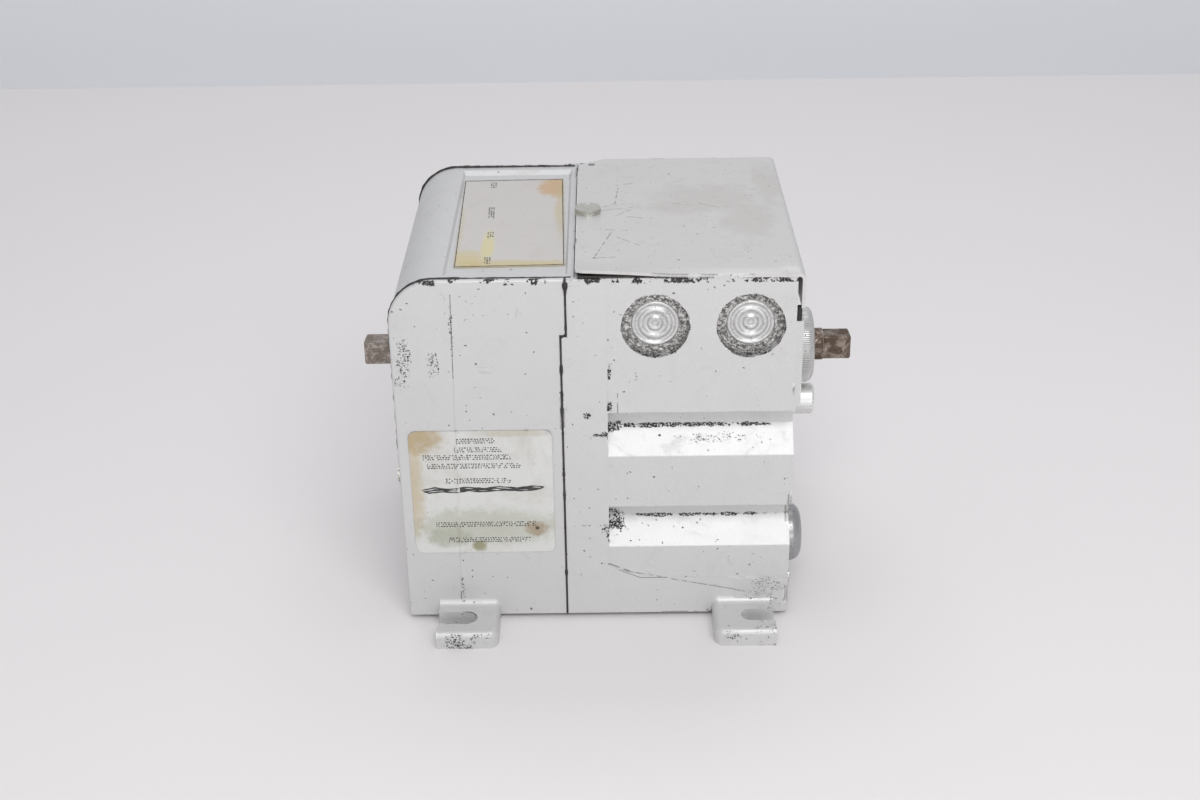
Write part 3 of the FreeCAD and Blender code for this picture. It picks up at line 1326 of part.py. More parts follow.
def limit_switch(middle):
    """A snap switch with two ears that hold its lever's pin."""
    half = "switch_width / 2"
    case = box((f"({middle} - {half})", f"({middle} + {half})"),
               (SWITCH_SIDE, f"({SWITCH_SIDE} + switch_depth)"),
               (f"({AXIS} - switch_height + 5)", f"({AXIS} + 5)"))
    ears = [box((f"({middle} + {a})", f"({middle} + {b})"),
                (f"({HINGE_Y} - 1.2)", f"({SWITCH_SIDE} + 2)"),
                (f"({HINGE_Z} - 1.2)", f"({HINGE_Z} + 3)"))
            for a, b in (("(0 - switch_width / 2)", "(0.6 - switch_width / 2)"),
                         ("(switch_width / 2 - 0.6)", "(switch_width / 2)"))]
    pin = rod((f"({middle} - {half})", HINGE_Y, HINGE_Z), "+x", "0.5", "switch_width")
    return fuse(case, *ears, pin)


def switch_lever(label, middle):
    """The blade that a cam lobe pushes towards its switch at the end of the stroke."""
    start = f"({middle} - lever_width / 2)"
    blade = box((start, f"({start} + lever_width)"),
                (f"({HINGE_Y} - lever_thickness / 2)", f"({HINGE_Y} + lever_thickness / 2)"),
                (HINGE_Z, f"({AXIS} + 1.2)"))
    nose = rod((start, NOSE_SIDE, AXIS), "+x", "nose_radius", "lever_width")
    knuckle = rod((start, HINGE_Y, HINGE_Z), "+x", "1.1", "lever_width")
    bore = rod((start, HINGE_Y, HINGE_Z), "+x", "(0.5 + running_gap)", "lever_width")
    node(label, cut(fuse(blade, nose, knuckle), bore))


# ---------------------------------------------------------------- wiring bay and supply

def relay():
    """A balancing relay: two coils under an armature that rocks on a pin."""
    left = f"({SEAM} + relay_inset)"
    right = f"({left} + relay_length)"
    base = box((left, right), ("(relay_side - relay_width / 2)", "(relay_side + relay_width / 2)"),
               (SHELF, f"({SHELF} + relay_plate)"))
    pivot = f"({SHELF} + relay_pivot)"
    posts = [box((a, b), ("(relay_side - 3)", "(relay_side + 3)"), (SHELF, f"({pivot} + 3)"))
             for a, b in ((left, f"({left} + relay_plate)"), (f"({right} - relay_plate)", right))]
    pin = rod((left, "relay_side", pivot), "+x", "relay_pin", "relay_length")
    node("relay_frame", fuse(base, *posts, pin))
    middle = f"({left} + relay_length / 2)"
    coils = [rod((middle, f"(relay_side + {side} * relay_coil_offset)",
                  f"({SHELF} + relay_plate)"), "+z", "relay_coil_radius", "relay_coil_height")
             for side in (-1, 1)]
    group("relay_coils", coils)
    inner = (f"({left} + relay_plate + 0.5)", f"({right} - relay_plate - 0.5)")
    reach = "(relay_coil_offset + relay_coil_radius - 1)"
    blade = box(inner, (f"(relay_side - {reach})", f"(relay_side + {reach})"),
                (f"({pivot} - 0.8)", f"({pivot} + 0.8)"))
    knuckle = rod((inner[0], "relay_side", pivot), "+x", "(relay_pin + 1.2)",
                  f"{inner[1]} - {inner[0]}")
    bore = rod((inner[0], "relay_side", pivot), "+x", "(relay_pin + running_gap)",
               f"{inner[1]} - {inner[0]}")
    node("relay_armature", cut(fuse(blade, knuckle), bore))


def terminals():
    left = f"({SEAM} + terminal_inset)"
    block = box((left, f"({left} + terminal_length)"),
                ("(0 - terminal_width / 2)", "(terminal_width / 2)"),
                (SHELF, f"({SHELF} + terminal_height)"))
    count = int(number("terminal_count"))
    spots = []
    for index in range(count):
        side = f"(({index} - (terminal_count - 1) / 2) * terminal_pitch)"
        spots.append((f"({left} + terminal_length / 2)", side, f"({SHELF} + terminal_height)"))
    holes = [rod((x, y, f"({z} - 6)"), "+z", "small_screw_radius", "7") for x, y, z in spots]
    ribs = []
    for index in range(count + 1):
        side = f"(({index} - terminal_count / 2) * terminal_pitch)"
        ribs.append(box((left, f"({left} + terminal_length)"),
                        (f"({side} - 0.8)", f"({side} + 0.8)"),
                        (f"({SHELF} + terminal_height - 1)", f"({SHELF} + terminal_height + 4)")))
    node("terminal_block", cut(fuse(block, *ribs), fuse(*holes)))
    screws = [screw(spot, "+z", "small_screw_radius", "5", "small_screw_head",
                    "small_screw_height") for spot in spots]
    group("terminal_screws", screws)


def supply():
    left = f"({SEAM} + core_inset)"
    right = f"({left} + core_length)"
    side = ("(core_side - core_width / 2)", "(core_side + core_width / 2)")
    frame = box((left, right), side, (FLOOR, f"({FLOOR} + core_height)"))
    window_z = (f"({FLOOR} + core_limb)", f"({FLOOR} + core_height - core_limb)")
    windows = [box((left, right), span, window_z) for span in
               ((f"({side[0]} + core_limb)", "(core_side - core_limb)"),
                ("(core_side + core_limb)", f"({side[1]} - core_limb)"))]
    node("transformer_core", cut(frame, *windows))
    coil = box((f"({left} - 3)", f"({right} + 3)"),
               (f"({side[0]} + core_limb)", f"({side[1]} - core_limb)"), window_z)
    limb = box((left, right), ("(core_side - core_limb)", "(core_side + core_limb)"), window_z)
    node("transformer_winding", cut(coil, limb))
    spot = (f"({left} + core_length / 2)", "capacitor_side", FLOOR)
    node("capacitor", rod(spot, "+z", "capacitor_radius", "capacitor_height"))


# ---------------------------------------------------------------- outer fittings and screws

def knockout_discs():
    """Stamped discs with raised rings and a centre dimple, pressed into the deep entries."""
    discs = []
    height = f"({BOTTOM} + knockout_height)"
    for side in (-1, 1):
        way = "+y" if side < 0 else "-y"
        face = mirrored(f"({HALF} - panel_step - knockout_recess + knockout_proud)", side)
        inner = mirrored(f"({HALF} - panel_step - knockout_recess - knockout_thickness)", side)
        out = "-y" if side < 0 else "+y"
        for inset in ("first_knockout", "second_knockout"):
            x = f"({SEAM} + {inset})"
            blank = rod((x, inner, height), out, "knockout_radius",
                        "(knockout_thickness + knockout_proud)")
            ring = tube((x, face, height), way, "(knockout_radius * 0.72)",
                        "(knockout_radius * 0.6)", "0.4")
            dimple = rod((x, face, height), way, "(knockout_radius * 0.3)", "0.4")
            discs.append(cut(blank, ring, dimple))
    group("knockout_discs", discs)


def domed_cap():
    """The round cap low on the power end: a neck through the plate and a domed head."""
    body = new_body("snap_cap")
    place(body, x=RIGHT, y="cap_side", z=f"({BOTTOM} + cap_height)")
    neck = "(cap_radius - 3 * neck_shrink)"
    start = "(0 - neck_length)"
    pad(body, circles(body, "YZ_Plane", [("0", "0", neck)], start), "neck_length")
    pad(body, circles(body, "YZ_Plane", [("0", "0", "cap_radius")]), "cap_length")
    tip = number("cap_length")

    def crown(edge):
        return edge.BoundBox.XLength < 1e-6 and abs(edge.BoundBox.XMax - tip) < 1e-6

    round_edges(body, "cap_length * 0.7", crown)


def end_stub():
    body = new_body("power_end_stub")
    place(body, x=RIGHT, y="stub_side", z=f"({BOTTOM} + stub_height)")
    neck = "(stub_radius - neck_shrink)"
    pad(body, circles(body, "YZ_Plane", [("0", "0", neck)], "(0 - neck_length)"), "neck_length")
    pad(body, circles(body, "YZ_Plane", [("0", "0", "stub_radius")]), "stub_length")
    tip = number("stub_length")

    def crown(edge):
        return edge.BoundBox.XLength < 1e-6 and abs(edge.BoundBox.XMax - tip) < 1e-6

    round_edges(body, "1", crown, "Chamfer")


def fasteners():
    group("wiring_cover_screw", [screw(
        (COVER_SCREW_X, "0", SHEET_TOP), "+z", "cover_screw_radius", "12", "cover_screw_head",
        "cover_screw_height", "1.2")])
    height = f"({BOTTOM} + side_screw_height)"
    sides = [mirrored(f"({HALF} - side_screw_inset)", side) for side in (-1, 1)]
    group("gear_cover_screws", [screw(
        (f"({LEFT} + fit_gap)", y, height), "-x", "small_screw_radius", "6", "small_screw_head",
        "small_screw_height") for y in sides])
    group("power_end_screws", [screw(
        (RIGHT, y, z), "+x", "small_screw_radius", "7", "small_screw_head",
        "small_screw_height") for y, z in END_SCREWS])
    inner = [(mirrored(f"({BAY_HALF} - boss_radius)", side), z)
             for side in (-1, 1) for z in SCREW_HEIGHTS]
    group("housing_screws", [screw(
        (PARTITION, y, z), "+x", "housing_screw_radius", "12", "(housing_screw_radius * 1.45)",
        "3") for y, z in inner])


# ---------------------------------------------------------------- build

gear_housing()
motor_housing()
housing_gasket()
gear_cover()
nameplate()
service_label()
wiring_cover()
wiring_cover_gasket()
power_end_plate()
main_shaft()
bush("left_bush", f"({LEFT} + seal_length)", "left_boss_length - seal_length",
     f"({LEFT} + left_boss_length)")
bush("centre_bush", MOTOR_SEAM, "wall + centre_boss_length",
     f"({PARTITION} + centre_boss_length)")
bush("power_end_bush", f"({RIGHT} - power_bush_length)", "power_bush_length",
     f"({MOTOR_END} - bush_flange)")
seals()
serrated_dial()
gear_train()
gear_plates()
motor()
cams_and_switches()
relay()
terminals()
supply()
knockout_discs()
domed_cap()
end_stub()
fasteners()
doc.recompute()

for item in doc.Objects:
    if "Invalid" in item.State or "Error" in item.State:
        raise ValueError(f"{item.Name} ({item.Label}) has state {item.State}")
for label, item in nodes.items():
    if item.Shape.isNull() or not item.Shape.isValid() or item.Shape.Volume <= 0:
        raise ValueError(f"{label} has no sound solid")
for label, item in nodes.items():
    item.Shape.exportStep(f"parts/{label}.step")
print(f"{len(nodes)} sub-parts written")
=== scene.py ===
import logging
import math
import random
from dataclasses import dataclass
from enum import Enum
from functools import reduce
from typing import Callable, Iterable, Sequence, Union

import bmesh
import bpy
from mathutils import Matrix, Vector, noise


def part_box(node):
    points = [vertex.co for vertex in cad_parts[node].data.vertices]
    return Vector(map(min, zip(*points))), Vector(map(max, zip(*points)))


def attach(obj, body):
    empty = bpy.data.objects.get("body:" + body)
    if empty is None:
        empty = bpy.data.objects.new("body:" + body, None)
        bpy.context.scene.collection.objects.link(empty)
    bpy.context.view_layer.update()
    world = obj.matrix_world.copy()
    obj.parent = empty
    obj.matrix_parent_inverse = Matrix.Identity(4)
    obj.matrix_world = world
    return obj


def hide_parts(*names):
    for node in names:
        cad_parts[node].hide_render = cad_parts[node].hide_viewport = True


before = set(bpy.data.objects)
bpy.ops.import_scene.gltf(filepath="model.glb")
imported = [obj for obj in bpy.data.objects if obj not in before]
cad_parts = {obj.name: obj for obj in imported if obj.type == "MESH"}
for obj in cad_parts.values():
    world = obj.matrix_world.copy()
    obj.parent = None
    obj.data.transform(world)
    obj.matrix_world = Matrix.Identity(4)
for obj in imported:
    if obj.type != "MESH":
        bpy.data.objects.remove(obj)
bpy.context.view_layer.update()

MM = 0.001
SEED = 41
SHARP_ANGLE = math.radians(32)
log = logging.getLogger("actuator")

Tint = tuple[float, float, float, float]
Operand = Union["Value", float]
Place = tuple[float, float, float]


class Axis(Enum):
    """The axis that a grain or a winding follows."""

    X = 0
    Y = 1
    Z = 2


class Slot(Enum):
    """The record's material slots."""

    CAST = "cast_paint"
    COVER = "cover_paint"
    SHAFT = "shaft_steel"
    BRIGHT = "bright_steel"
    POLISHED = "polished_steel"
    GASKET = "gasket_rubber"
    PLATE = "plate_yellow"
    LABEL = "label_paper"
    DIAL = "dial_zinc"


def grey(level: float, warmth: float = 0.0) -> Tint:
    """A near-neutral linear colour.

    Args:
        level: its brightness.
        warmth: how far red is raised and blue lowered, as a share.

    Returns:
        The colour with full alpha.
    """
    return (level * (1 + warmth), level, level * (1 - warmth), 1.0)


# ---------------------------------------------------------------- shader graph


class Value:
    """A number in a shader graph; Python operators on it add Math nodes."""

    def __init__(self, graph: "Graph", socket: bpy.types.NodeSocket) -> None:
        """Wraps an output socket of a graph."""
        self.graph = graph
        self.socket = socket

    def __add__(self, other: Operand) -> "Value":
        """Self plus other."""
        return self.graph.math("ADD", self, other)

    def __radd__(self, other: Operand) -> "Value":
        """Other plus self."""
        return self.graph.math("ADD", other, self)

    def __sub__(self, other: Operand) -> "Value":
        """Self minus other."""
        return self.graph.math("SUBTRACT", self, other)

    def __rsub__(self, other: Operand) -> "Value":
        """Other minus self."""
        return self.graph.math("SUBTRACT", other, self)

    def __mul__(self, other: Operand) -> "Value":
        """Self times other."""
        return self.graph.math("MULTIPLY", self, other)

    def __rmul__(self, other: Operand) -> "Value":
        """Other times self."""
        return self.graph.math("MULTIPLY", other, self)

    def __truediv__(self, other: Operand) -> "Value":
        """Self over other."""
        return self.graph.math("DIVIDE", self, other)

    def __pow__(self, other: Operand) -> "Value":
        """Self to a power."""
        return self.graph.math("POWER", self, other)

    def __abs__(self) -> "Value":
        """The size of the number, without its sign."""
        return self.graph.math("ABSOLUTE", self, 0.0)

    def lowest(self, other: Operand) -> "Value":
        """The lower of two numbers."""
        return self.graph.math("MINIMUM", self, other)

    def highest(self, other: Operand) -> "Value":
        """The higher of two numbers."""
        return self.graph.math("MAXIMUM", self, other)

    def rise(self, low: float, high: float) -> "Value":
        """A smooth step.

        Args:
            low: where the result is 0.
            high: where the result is 1; it may be below low.

        Returns:
            The eased share between the two.
        """
        made = self.graph.node(
            "ShaderNodeMapRange",
            {"interpolation_type": "SMOOTHSTEP", "clamp": True},
            {"Value": self, "From Min": low, "From Max": high},
        )
        return Value(self.graph, made.outputs["Result"])


class Graph:
    """One material's node tree, with short ways to add the nodes it needs."""

    def __init__(self, name: str) -> None:
        """Starts an empty material of that name."""
        self.material = bpy.data.materials.new(name)
        self.material.use_nodes = True
        self.tree = self.material.node_tree
        self.tree.nodes.clear()
        self.place = self.node("ShaderNodeTexCoord", {}, {}).outputs["Object"]
        parts = self.node("ShaderNodeSeparateXYZ", {}, {"Vector": self.place})
        self.x, self.y, self.z = (Value(self, parts.outputs[i]) for i in range(3))

    def node(self, kind: str, settings: dict, sockets: dict) -> bpy.types.Node:
        """Adds a node.

        Args:
            kind: the node's type.
            settings: its properties, set first; "stops" are a colour ramp's.
            sockets: input name or index to a constant, a Value or a socket.

        Returns:
            The node.
        """
        made = self.tree.nodes.new(kind)
        for key, setting in settings.items():
            if key == "stops":
                self._set_stops(made, setting)
            else:
                setattr(made, key, setting)
        for key, given in sockets.items():
            source = given.socket if isinstance(given, Value) else given
            if isinstance(source, bpy.types.NodeSocket):
                self.tree.links.new(source, made.inputs[key])
            else:
                made.inputs[key].default_value = source
        return made

    def _set_stops(self, ramp: bpy.types.Node, stops: Sequence[tuple[float, Tint]]) -> None:
        """Gives a colour ramp its stops."""
        band = ramp.color_ramp
        while len(band.elements) < len(stops):
            band.elements.new(1.0)
        for element, (position, tint) in zip(band.elements, stops):
            element.position = position
            element.color = tint

    def math(self, operation: str, first: Operand, second: Operand) -> Value:
        """Adds a Math node and returns its result."""
        made = self.node("ShaderNodeMath", {"operation": operation}, {0: first, 1: second})
        return Value(self, made.outputs[0])

    def spread(
        self, stretch: Place, turn: Place = (0, 0, 0), shift: Place = (0, 0, 0)
    ) -> bpy.types.NodeSocket:
        """Object coordinates, turned, moved and then scaled on each axis.

        Args:
            stretch: the scale on each axis; a small one draws a pattern out.
            turn: the turn about each axis, in radians.
            shift: the move, in metres.

        Returns:
            The vector socket.
        """
        turned = self.node(
            "ShaderNodeMapping", {}, {"Vector": self.place, "Rotation": turn, "Location": shift}
        )
        scaled = self.node(
            "ShaderNodeMapping", {}, {"Vector": turned.outputs[0], "Scale": stretch}
        )
        return scaled.outputs[0]

    def clouds(
        self, scale: float, detail: float = 3.0, rough: float = 0.55, warp: float = 0.0,
        at: bpy.types.NodeSocket | None = None,
    ) -> Value:
        """Soft noise between 0 and 1.

        Args:
            scale: how many features there are in a metre.
            detail: how many finer layers are added.
            rough: how strong the finer layers are.
            warp: how far the noise twists itself.
            at: coordinates other than the object's.

        Returns:
            The noise.
        """
        made = self.node(
            "ShaderNodeTexNoise",
            {},
            {"Vector": at or self.place, "Scale": scale, "Detail": detail,
             "Roughness": rough, "Distortion": warp},
        )
        return Value(self, made.outputs["Fac"])

    def cells(
        self, scale: float, at: bpy.types.NodeSocket | None = None, edge: bool = False
    ) -> tuple[Value, Value]:
        """Scattered cells.

        Args:
            scale: how many cells there are in a metre.
            at: coordinates other than the object's.
            edge: measures from the cells' borders and not their middles.

        Returns:
            The distance, in cells, and a number that is random by cell.
        """
        made = self.node(
            "ShaderNodeTexVoronoi",
            {"feature": "DISTANCE_TO_EDGE" if edge else "F1"},
            {"Vector": at or self.place, "Scale": scale},
        )
        distance = Value(self, made.outputs["Distance"])
        if edge:
            return distance, distance
        parts = self.node("ShaderNodeSeparateXYZ", {}, {"Vector": made.outputs["Color"]})
        return distance, Value(self, parts.outputs[0])

    def mix(self, share: Operand, first: object, second: object) -> bpy.types.NodeSocket:
        """Mixes two colours, each a constant or a socket, and returns the colour socket."""
        made = self.node(
            "ShaderNodeMix", {"data_type": "RGBA"}, {0: share, 6: first, 7: second}
        )
        return made.outputs[2]

    def edges(self, radius: float, samples: int = 6) -> Value:
        """How close a point is to a hard edge, from 0 on a flat face to about 0.3 on the edge."""
        rounded = self.node("ShaderNodeBevel", {"samples": samples}, {"Radius": radius})
        true = self.node("ShaderNodeNewGeometry", {}, {})
        dot = self.node(
            "ShaderNodeVectorMath",
            {"operation": "DOT_PRODUCT"},
            {0: rounded.outputs[0], 1: true.outputs["True Normal"]},
        )
        return 1.0 - Value(self, dot.outputs["Value"])

    def stroke(
        self, across: Value, along: Value, start: tuple[float, float],
        end: tuple[float, float], width: float,
    ) -> Value:
        """A soft straight stroke on a flat face.

        Args:
            across: the face's first coordinate.
            along: the face's second coordinate.
            start: where the stroke starts.
            end: where the stroke ends.
            width: half its width.

        Returns:
            1 in the middle of the stroke and 0 away from it.
        """
        run = (end[0] - start[0], end[1] - start[1])
        length = run[0] ** 2 + run[1] ** 2
        u = across - start[0]
        v = along - start[1]
        share = ((u * run[0] + v * run[1]) * (1.0 / length)).highest(0.0).lowest(1.0)
        gap = ((u - share * run[0]) ** 2 + (v - share * run[1]) ** 2) ** 0.5
        return gap.rise(width, width * 0.35)

    def blot(
        self, across: Value, along: Value, centre: tuple[float, float],
        reach: tuple[float, float], ragged: Value,
    ) -> Value:
        """A soft round stain with a ragged rim on a flat face.

        Args:
            across: the face's first coordinate.
            along: the face's second coordinate.
            centre: the stain's middle.
            reach: its half sizes.
            ragged: noise that breaks up its rim.

        Returns:
            1 in the stain and 0 away from it.
        """
        u = (across - centre[0]) * (1.0 / reach[0])
        v = (along - centre[1]) * (1.0 / reach[1])
        return (u ** 2 + v ** 2 + (ragged - 0.5) * 4.0).rise(1.3, 0.2)

    def close(
        self, colour: object, rough: object, metal: object, height: Value | None = None,
        depth: float = 0.0001, coat: object = 0.0, coat_rough: float = 0.2,
    ) -> bpy.types.Material:
        """Ends the graph in a Principled shader.

        Args:
            colour: the base colour.
            rough: the roughness.
            metal: how metallic it is.
            height: the relief, between 0 and 1.
            depth: the relief's depth, in metres.
            coat: the clear coat's weight.
            coat_rough: the clear coat's roughness.

        Returns:
            The material.
        """
        sockets = {
            "Base Color": colour, "Roughness": rough, "Metallic": metal,
            "Coat Weight": coat, "Coat Roughness": coat_rough,
        }
        if height is not None:
            bump = self.node(
                "ShaderNodeBump", {}, {"Height": height, "Distance": depth, "Strength": 1.0}
            )
            sockets["Normal"] = bump.outputs[0]
        shader = self.node("ShaderNodeBsdfPrincipled", {}, sockets)
        self.node("ShaderNodeOutputMaterial", {}, {"Surface": shader.outputs[0]})
        return self.material


# -------------------------------------------------------------------- finishes


@dataclass(frozen=True)
class Paint:
    """Sprayed silver-grey paint on metal, chipped to a dark base along its edges."""

    name: str
    tone: float = 0.62
    warmth: float = 0.0
    metal: float = 0.35
    rough: float = 0.44
    edge_reach: float = 0.002
    chipping: float = 1.0
    specks: float = 1.0
    soiling: float = 0.5
    peel: float = 0.5
    marks: Callable[[Graph], Value] | None = None
    stains: Callable[[Graph], Value] | None = None
    pits: Callable[[Graph], Value] | None = None

    def material(self) -> bpy.types.Material:
        """Builds the shader graph.

        Returns:
            The material.
        """
        g = Graph(self.name)
        broad = g.clouds(14.0, 3.0)
        patches = g.clouds(120.0, 4.0, 0.6)
        flakes = g.clouds(3800.0, 1.0)
        peel = g.clouds(700.0, 2.0)
        brightness = 0.94 + 0.07 * broad + 0.05 * patches
        light = g.mix(flakes.rise(0.3, 0.7), grey(self.tone * 0.93, self.warmth),
                      grey(self.tone * 1.06, self.warmth))
        colour = g.mix(brightness.rise(1.06, 0.9) * 0.5, light, grey(self.tone * 0.8, 0.02))
        # chips where an edge and two scales of noise agree
        edge = g.edges(self.edge_reach)
        ragged = g.clouds(420.0, 5.0, 0.7)
        where = g.clouds(45.0, 2.0)
        chance = edge.rise(0.03, 0.28) * where.rise(0.42, 0.68) * self.chipping
        chip = (chance * 0.8 + ragged * 0.75).rise(0.93, 1.0)
        # pale rims beside the chips: partly bare metal, partly a painted highlight along the edges
        chip_rim_and_highlight = (chance + (1.0 - ragged) * 0.75).rise(0.97, 1.03)
        # scattered specks and pocks
        bent = g.node("ShaderNodeVectorMath", {"operation": "MULTIPLY_ADD"}, {
            0: g.node("ShaderNodeTexNoise", {}, {"Vector": g.place, "Scale": 1600.0}).outputs["Color"],
            1: (0.0016, 0.0016, 0.0016), 2: g.place,
        }).outputs[0]
        gap, pick = g.cells(300.0, bent)
        speck = gap.rise(0.22 * self.specks, 0.12) * pick.rise(0.985, 0.992)
        fine_gap, fine_pick = g.cells(900.0, bent)
        fine = fine_gap.rise(0.34, 0.2) * fine_pick.rise(0.975, 0.985) * self.specks
        dark = chip.highest(speck).highest(fine)
        if self.pits is not None:
            grit = g.clouds(1500.0, 3.0, 0.7)
            dark = dark.highest((self.pits(g) * 0.42 + grit).rise(0.84, 0.92))
        # thin scratches, drawn out along two directions
        long_a, _ = g.cells(60.0, g.spread((1.0, 1.0, 0.3), (0.2, 0.5, 0.0)), edge=True)
        long_b, _ = g.cells(48.0, g.spread((0.3, 1.0, 1.0), (0.0, 0.15, 0.3)), edge=True)
        faint = g.clouds(90.0, 4.0, 0.6).rise(0.6, 0.7)
        scratch = long_a.rise(0.012, 0.002).highest(long_b.rise(0.01, 0.002)) * faint
        grime = g.clouds(75.0, 6.0, 0.75, 0.6).rise(0.5, 0.78) * self.soiling
        colour = g.mix(grime * 0.35, colour, (0.36, 0.33, 0.29, 1.0))
        if self.stains is not None:
            colour = g.mix(self.stains(g), colour, (0.38, 0.32, 0.25, 1.0))
        colour = g.mix(scratch * 0.25, colour, grey(0.3))
        drawn: Operand = 0.0
        if self.marks is not None:
            drawn = self.marks(g)
            colour = g.mix(drawn * 0.75, colour, grey(0.17))
        # paints the pale chip rims: bare metal together with a painted edge highlight
        colour = g.mix(chip_rim_and_highlight * 0.8, colour, grey(0.9))
        colour = g.mix(dark, colour, (0.028, 0.026, 0.024, 1.0))
        rough = (self.rough + 0.1 * (patches - 0.5) + 0.25 * grime + 0.3 * dark).highest(0.2)
        height = (peel * self.peel * 0.35 + patches * 0.12 + 1.0) - dark * 0.9 - scratch * 0.25
        if self.marks is not None:
            height = height - drawn * 0.35
        metal = self.metal * (1.0 - dark.highest(grime * 0.5))
        return g.close(colour, rough, metal, height, 0.00009)


@dataclass(frozen=True)
class Metal:
    """Bare, plated or tarnished metal with a machining grain."""

    name: str
    colour: Tint
    tarnish: Tint
    rough: float = 0.35
    metallic: float = 1.0
    tarnished: float = 0.5
    spread: float = 90.0
    grain: Axis = Axis.X
    grain_depth: float = 0.3
    pitting: float = 0.2
    worn_edge: float = 0.6
    left_colour: Tint | None = None

    def material(self) -> bpy.types.Material:
        """Builds the shader graph.

        Returns:
            The material.
        """
        g = Graph(self.name)
        drawn = [1.0, 1.0, 1.0]
        drawn[self.grain.value] = 0.04
        lines = g.clouds(2600.0, 2.0, 0.6, at=g.spread(tuple(drawn)))
        cover = g.clouds(self.spread, 6.0, 0.68, 0.4)
        spots = g.clouds(self.spread * 9.0, 3.0, 0.6)
        patch = (cover * 0.75 + spots * 0.25).rise(
            0.62 - 0.25 * self.tarnished, 0.7 - 0.2 * self.tarnished
        )
        colour = g.mix(patch * (0.25 + 0.75 * self.tarnished), self.colour, self.tarnish)
        if self.left_colour is not None:
            left = g.mix(patch * 0.55, self.left_colour, self.tarnish)
            colour = g.mix(g.x.rise(-0.01, 0.01), left, colour)
        colour = g.mix(lines.rise(0.35, 0.7) * 0.22, colour, grey(0.12, 0.05))
        edge = g.edges(0.0006).rise(0.02, 0.2)
        colour = g.mix(edge * (1.0 - spots) * self.worn_edge, colour, grey(0.78))
        gap, pick = g.cells(1500.0)
        pit = gap.rise(0.4, 0.15) * pick.rise(1.0 - self.pitting, 1.02 - self.pitting)
        colour = g.mix(pit * 0.85, colour, (0.02, 0.018, 0.015, 1.0))
        rough = (self.rough + 0.3 * patch + 0.12 * (lines - 0.5) + 0.3 * pit).highest(0.06)
        height = 1.0 + self.grain_depth * lines * 0.5 + spots * 0.15 - pit
        metal = self.metallic * (1.0 - patch * 0.6 * self.tarnished)
        return g.close(colour, rough, metal, height, 0.00005)


@dataclass(frozen=True)
class Moulded:
    """Rubber, phenolic or film with a fine moulded skin and dust in its hollows."""

    name: str
    colour: Tint
    dust: Tint = (0.22, 0.21, 0.19, 1.0)
    rough: float = 0.6
    dusting: float = 0.4
    mottle: float = 0.2
    coat: float = 0.0

    def material(self) -> bpy.types.Material:
        """Builds the shader graph.

        Returns:
            The material.
        """
        g = Graph(self.name)
        skin = g.clouds(2400.0, 3.0, 0.6)
        clump = g.clouds(160.0, 5.0, 0.65)
        flow = g.clouds(60.0, 3.0, 0.6, 1.2)
        settled = clump.rise(0.5, 0.75) * self.dusting
        colour = g.mix(flow.rise(0.35, 0.65) * self.mottle, self.colour,
                       tuple(min(1.0, c * 2.2) for c in self.colour[:3]) + (1.0,))
        colour = g.mix(settled, colour, self.dust)
        worn = g.edges(0.0005).rise(0.02, 0.2) * skin
        colour = g.mix(worn * 0.5, colour, self.dust)
        rough = (self.rough + 0.15 * (skin - 0.5) + 0.2 * settled).lowest(1.0)
        return g.close(colour, rough, 0.0, skin * 0.6 + clump * 0.4, 0.00004, self.coat)


@dataclass(frozen=True)
class Wound:
    """Enamelled wire laid in close turns, or a stack of thin sheets."""

    name: str
    colour: Tint
    gap_colour: Tint
    pitch: float
    across: Axis
    rough: float = 0.35
    metallic: float = 0.9

    def material(self) -> bpy.types.Material:
        """Builds the shader graph.

        Returns:
            The material.
        """
        g = Graph(self.name)
        position = (g.x, g.y, g.z)[self.across.value]
        wobble = g.clouds(180.0, 2.0) * 0.25
        turn = g.math("PINGPONG", position * (1.0 / self.pitch) + wobble, 0.5) * 2.0
        crown = turn.rise(0.12, 0.6)
        cloud = g.clouds(110.0, 4.0, 0.6)
        colour = g.mix(cloud.rise(0.3, 0.75) * 0.4, self.colour, self.gap_colour)
        colour = g.mix(1.0 - crown, colour, self.gap_colour)
        rough = self.rough + 0.25 * cloud * (1.0 - crown) + 0.05 * cloud
        return g.close(colour, rough, self.metallic * crown, crown, 0.00012)


@dataclass(frozen=True)
class Stain:
    """One stain on a flat sheet."""

    middle: tuple[float, float]
    reach: tuple[float, float]
    tint: Tint
    strength: float


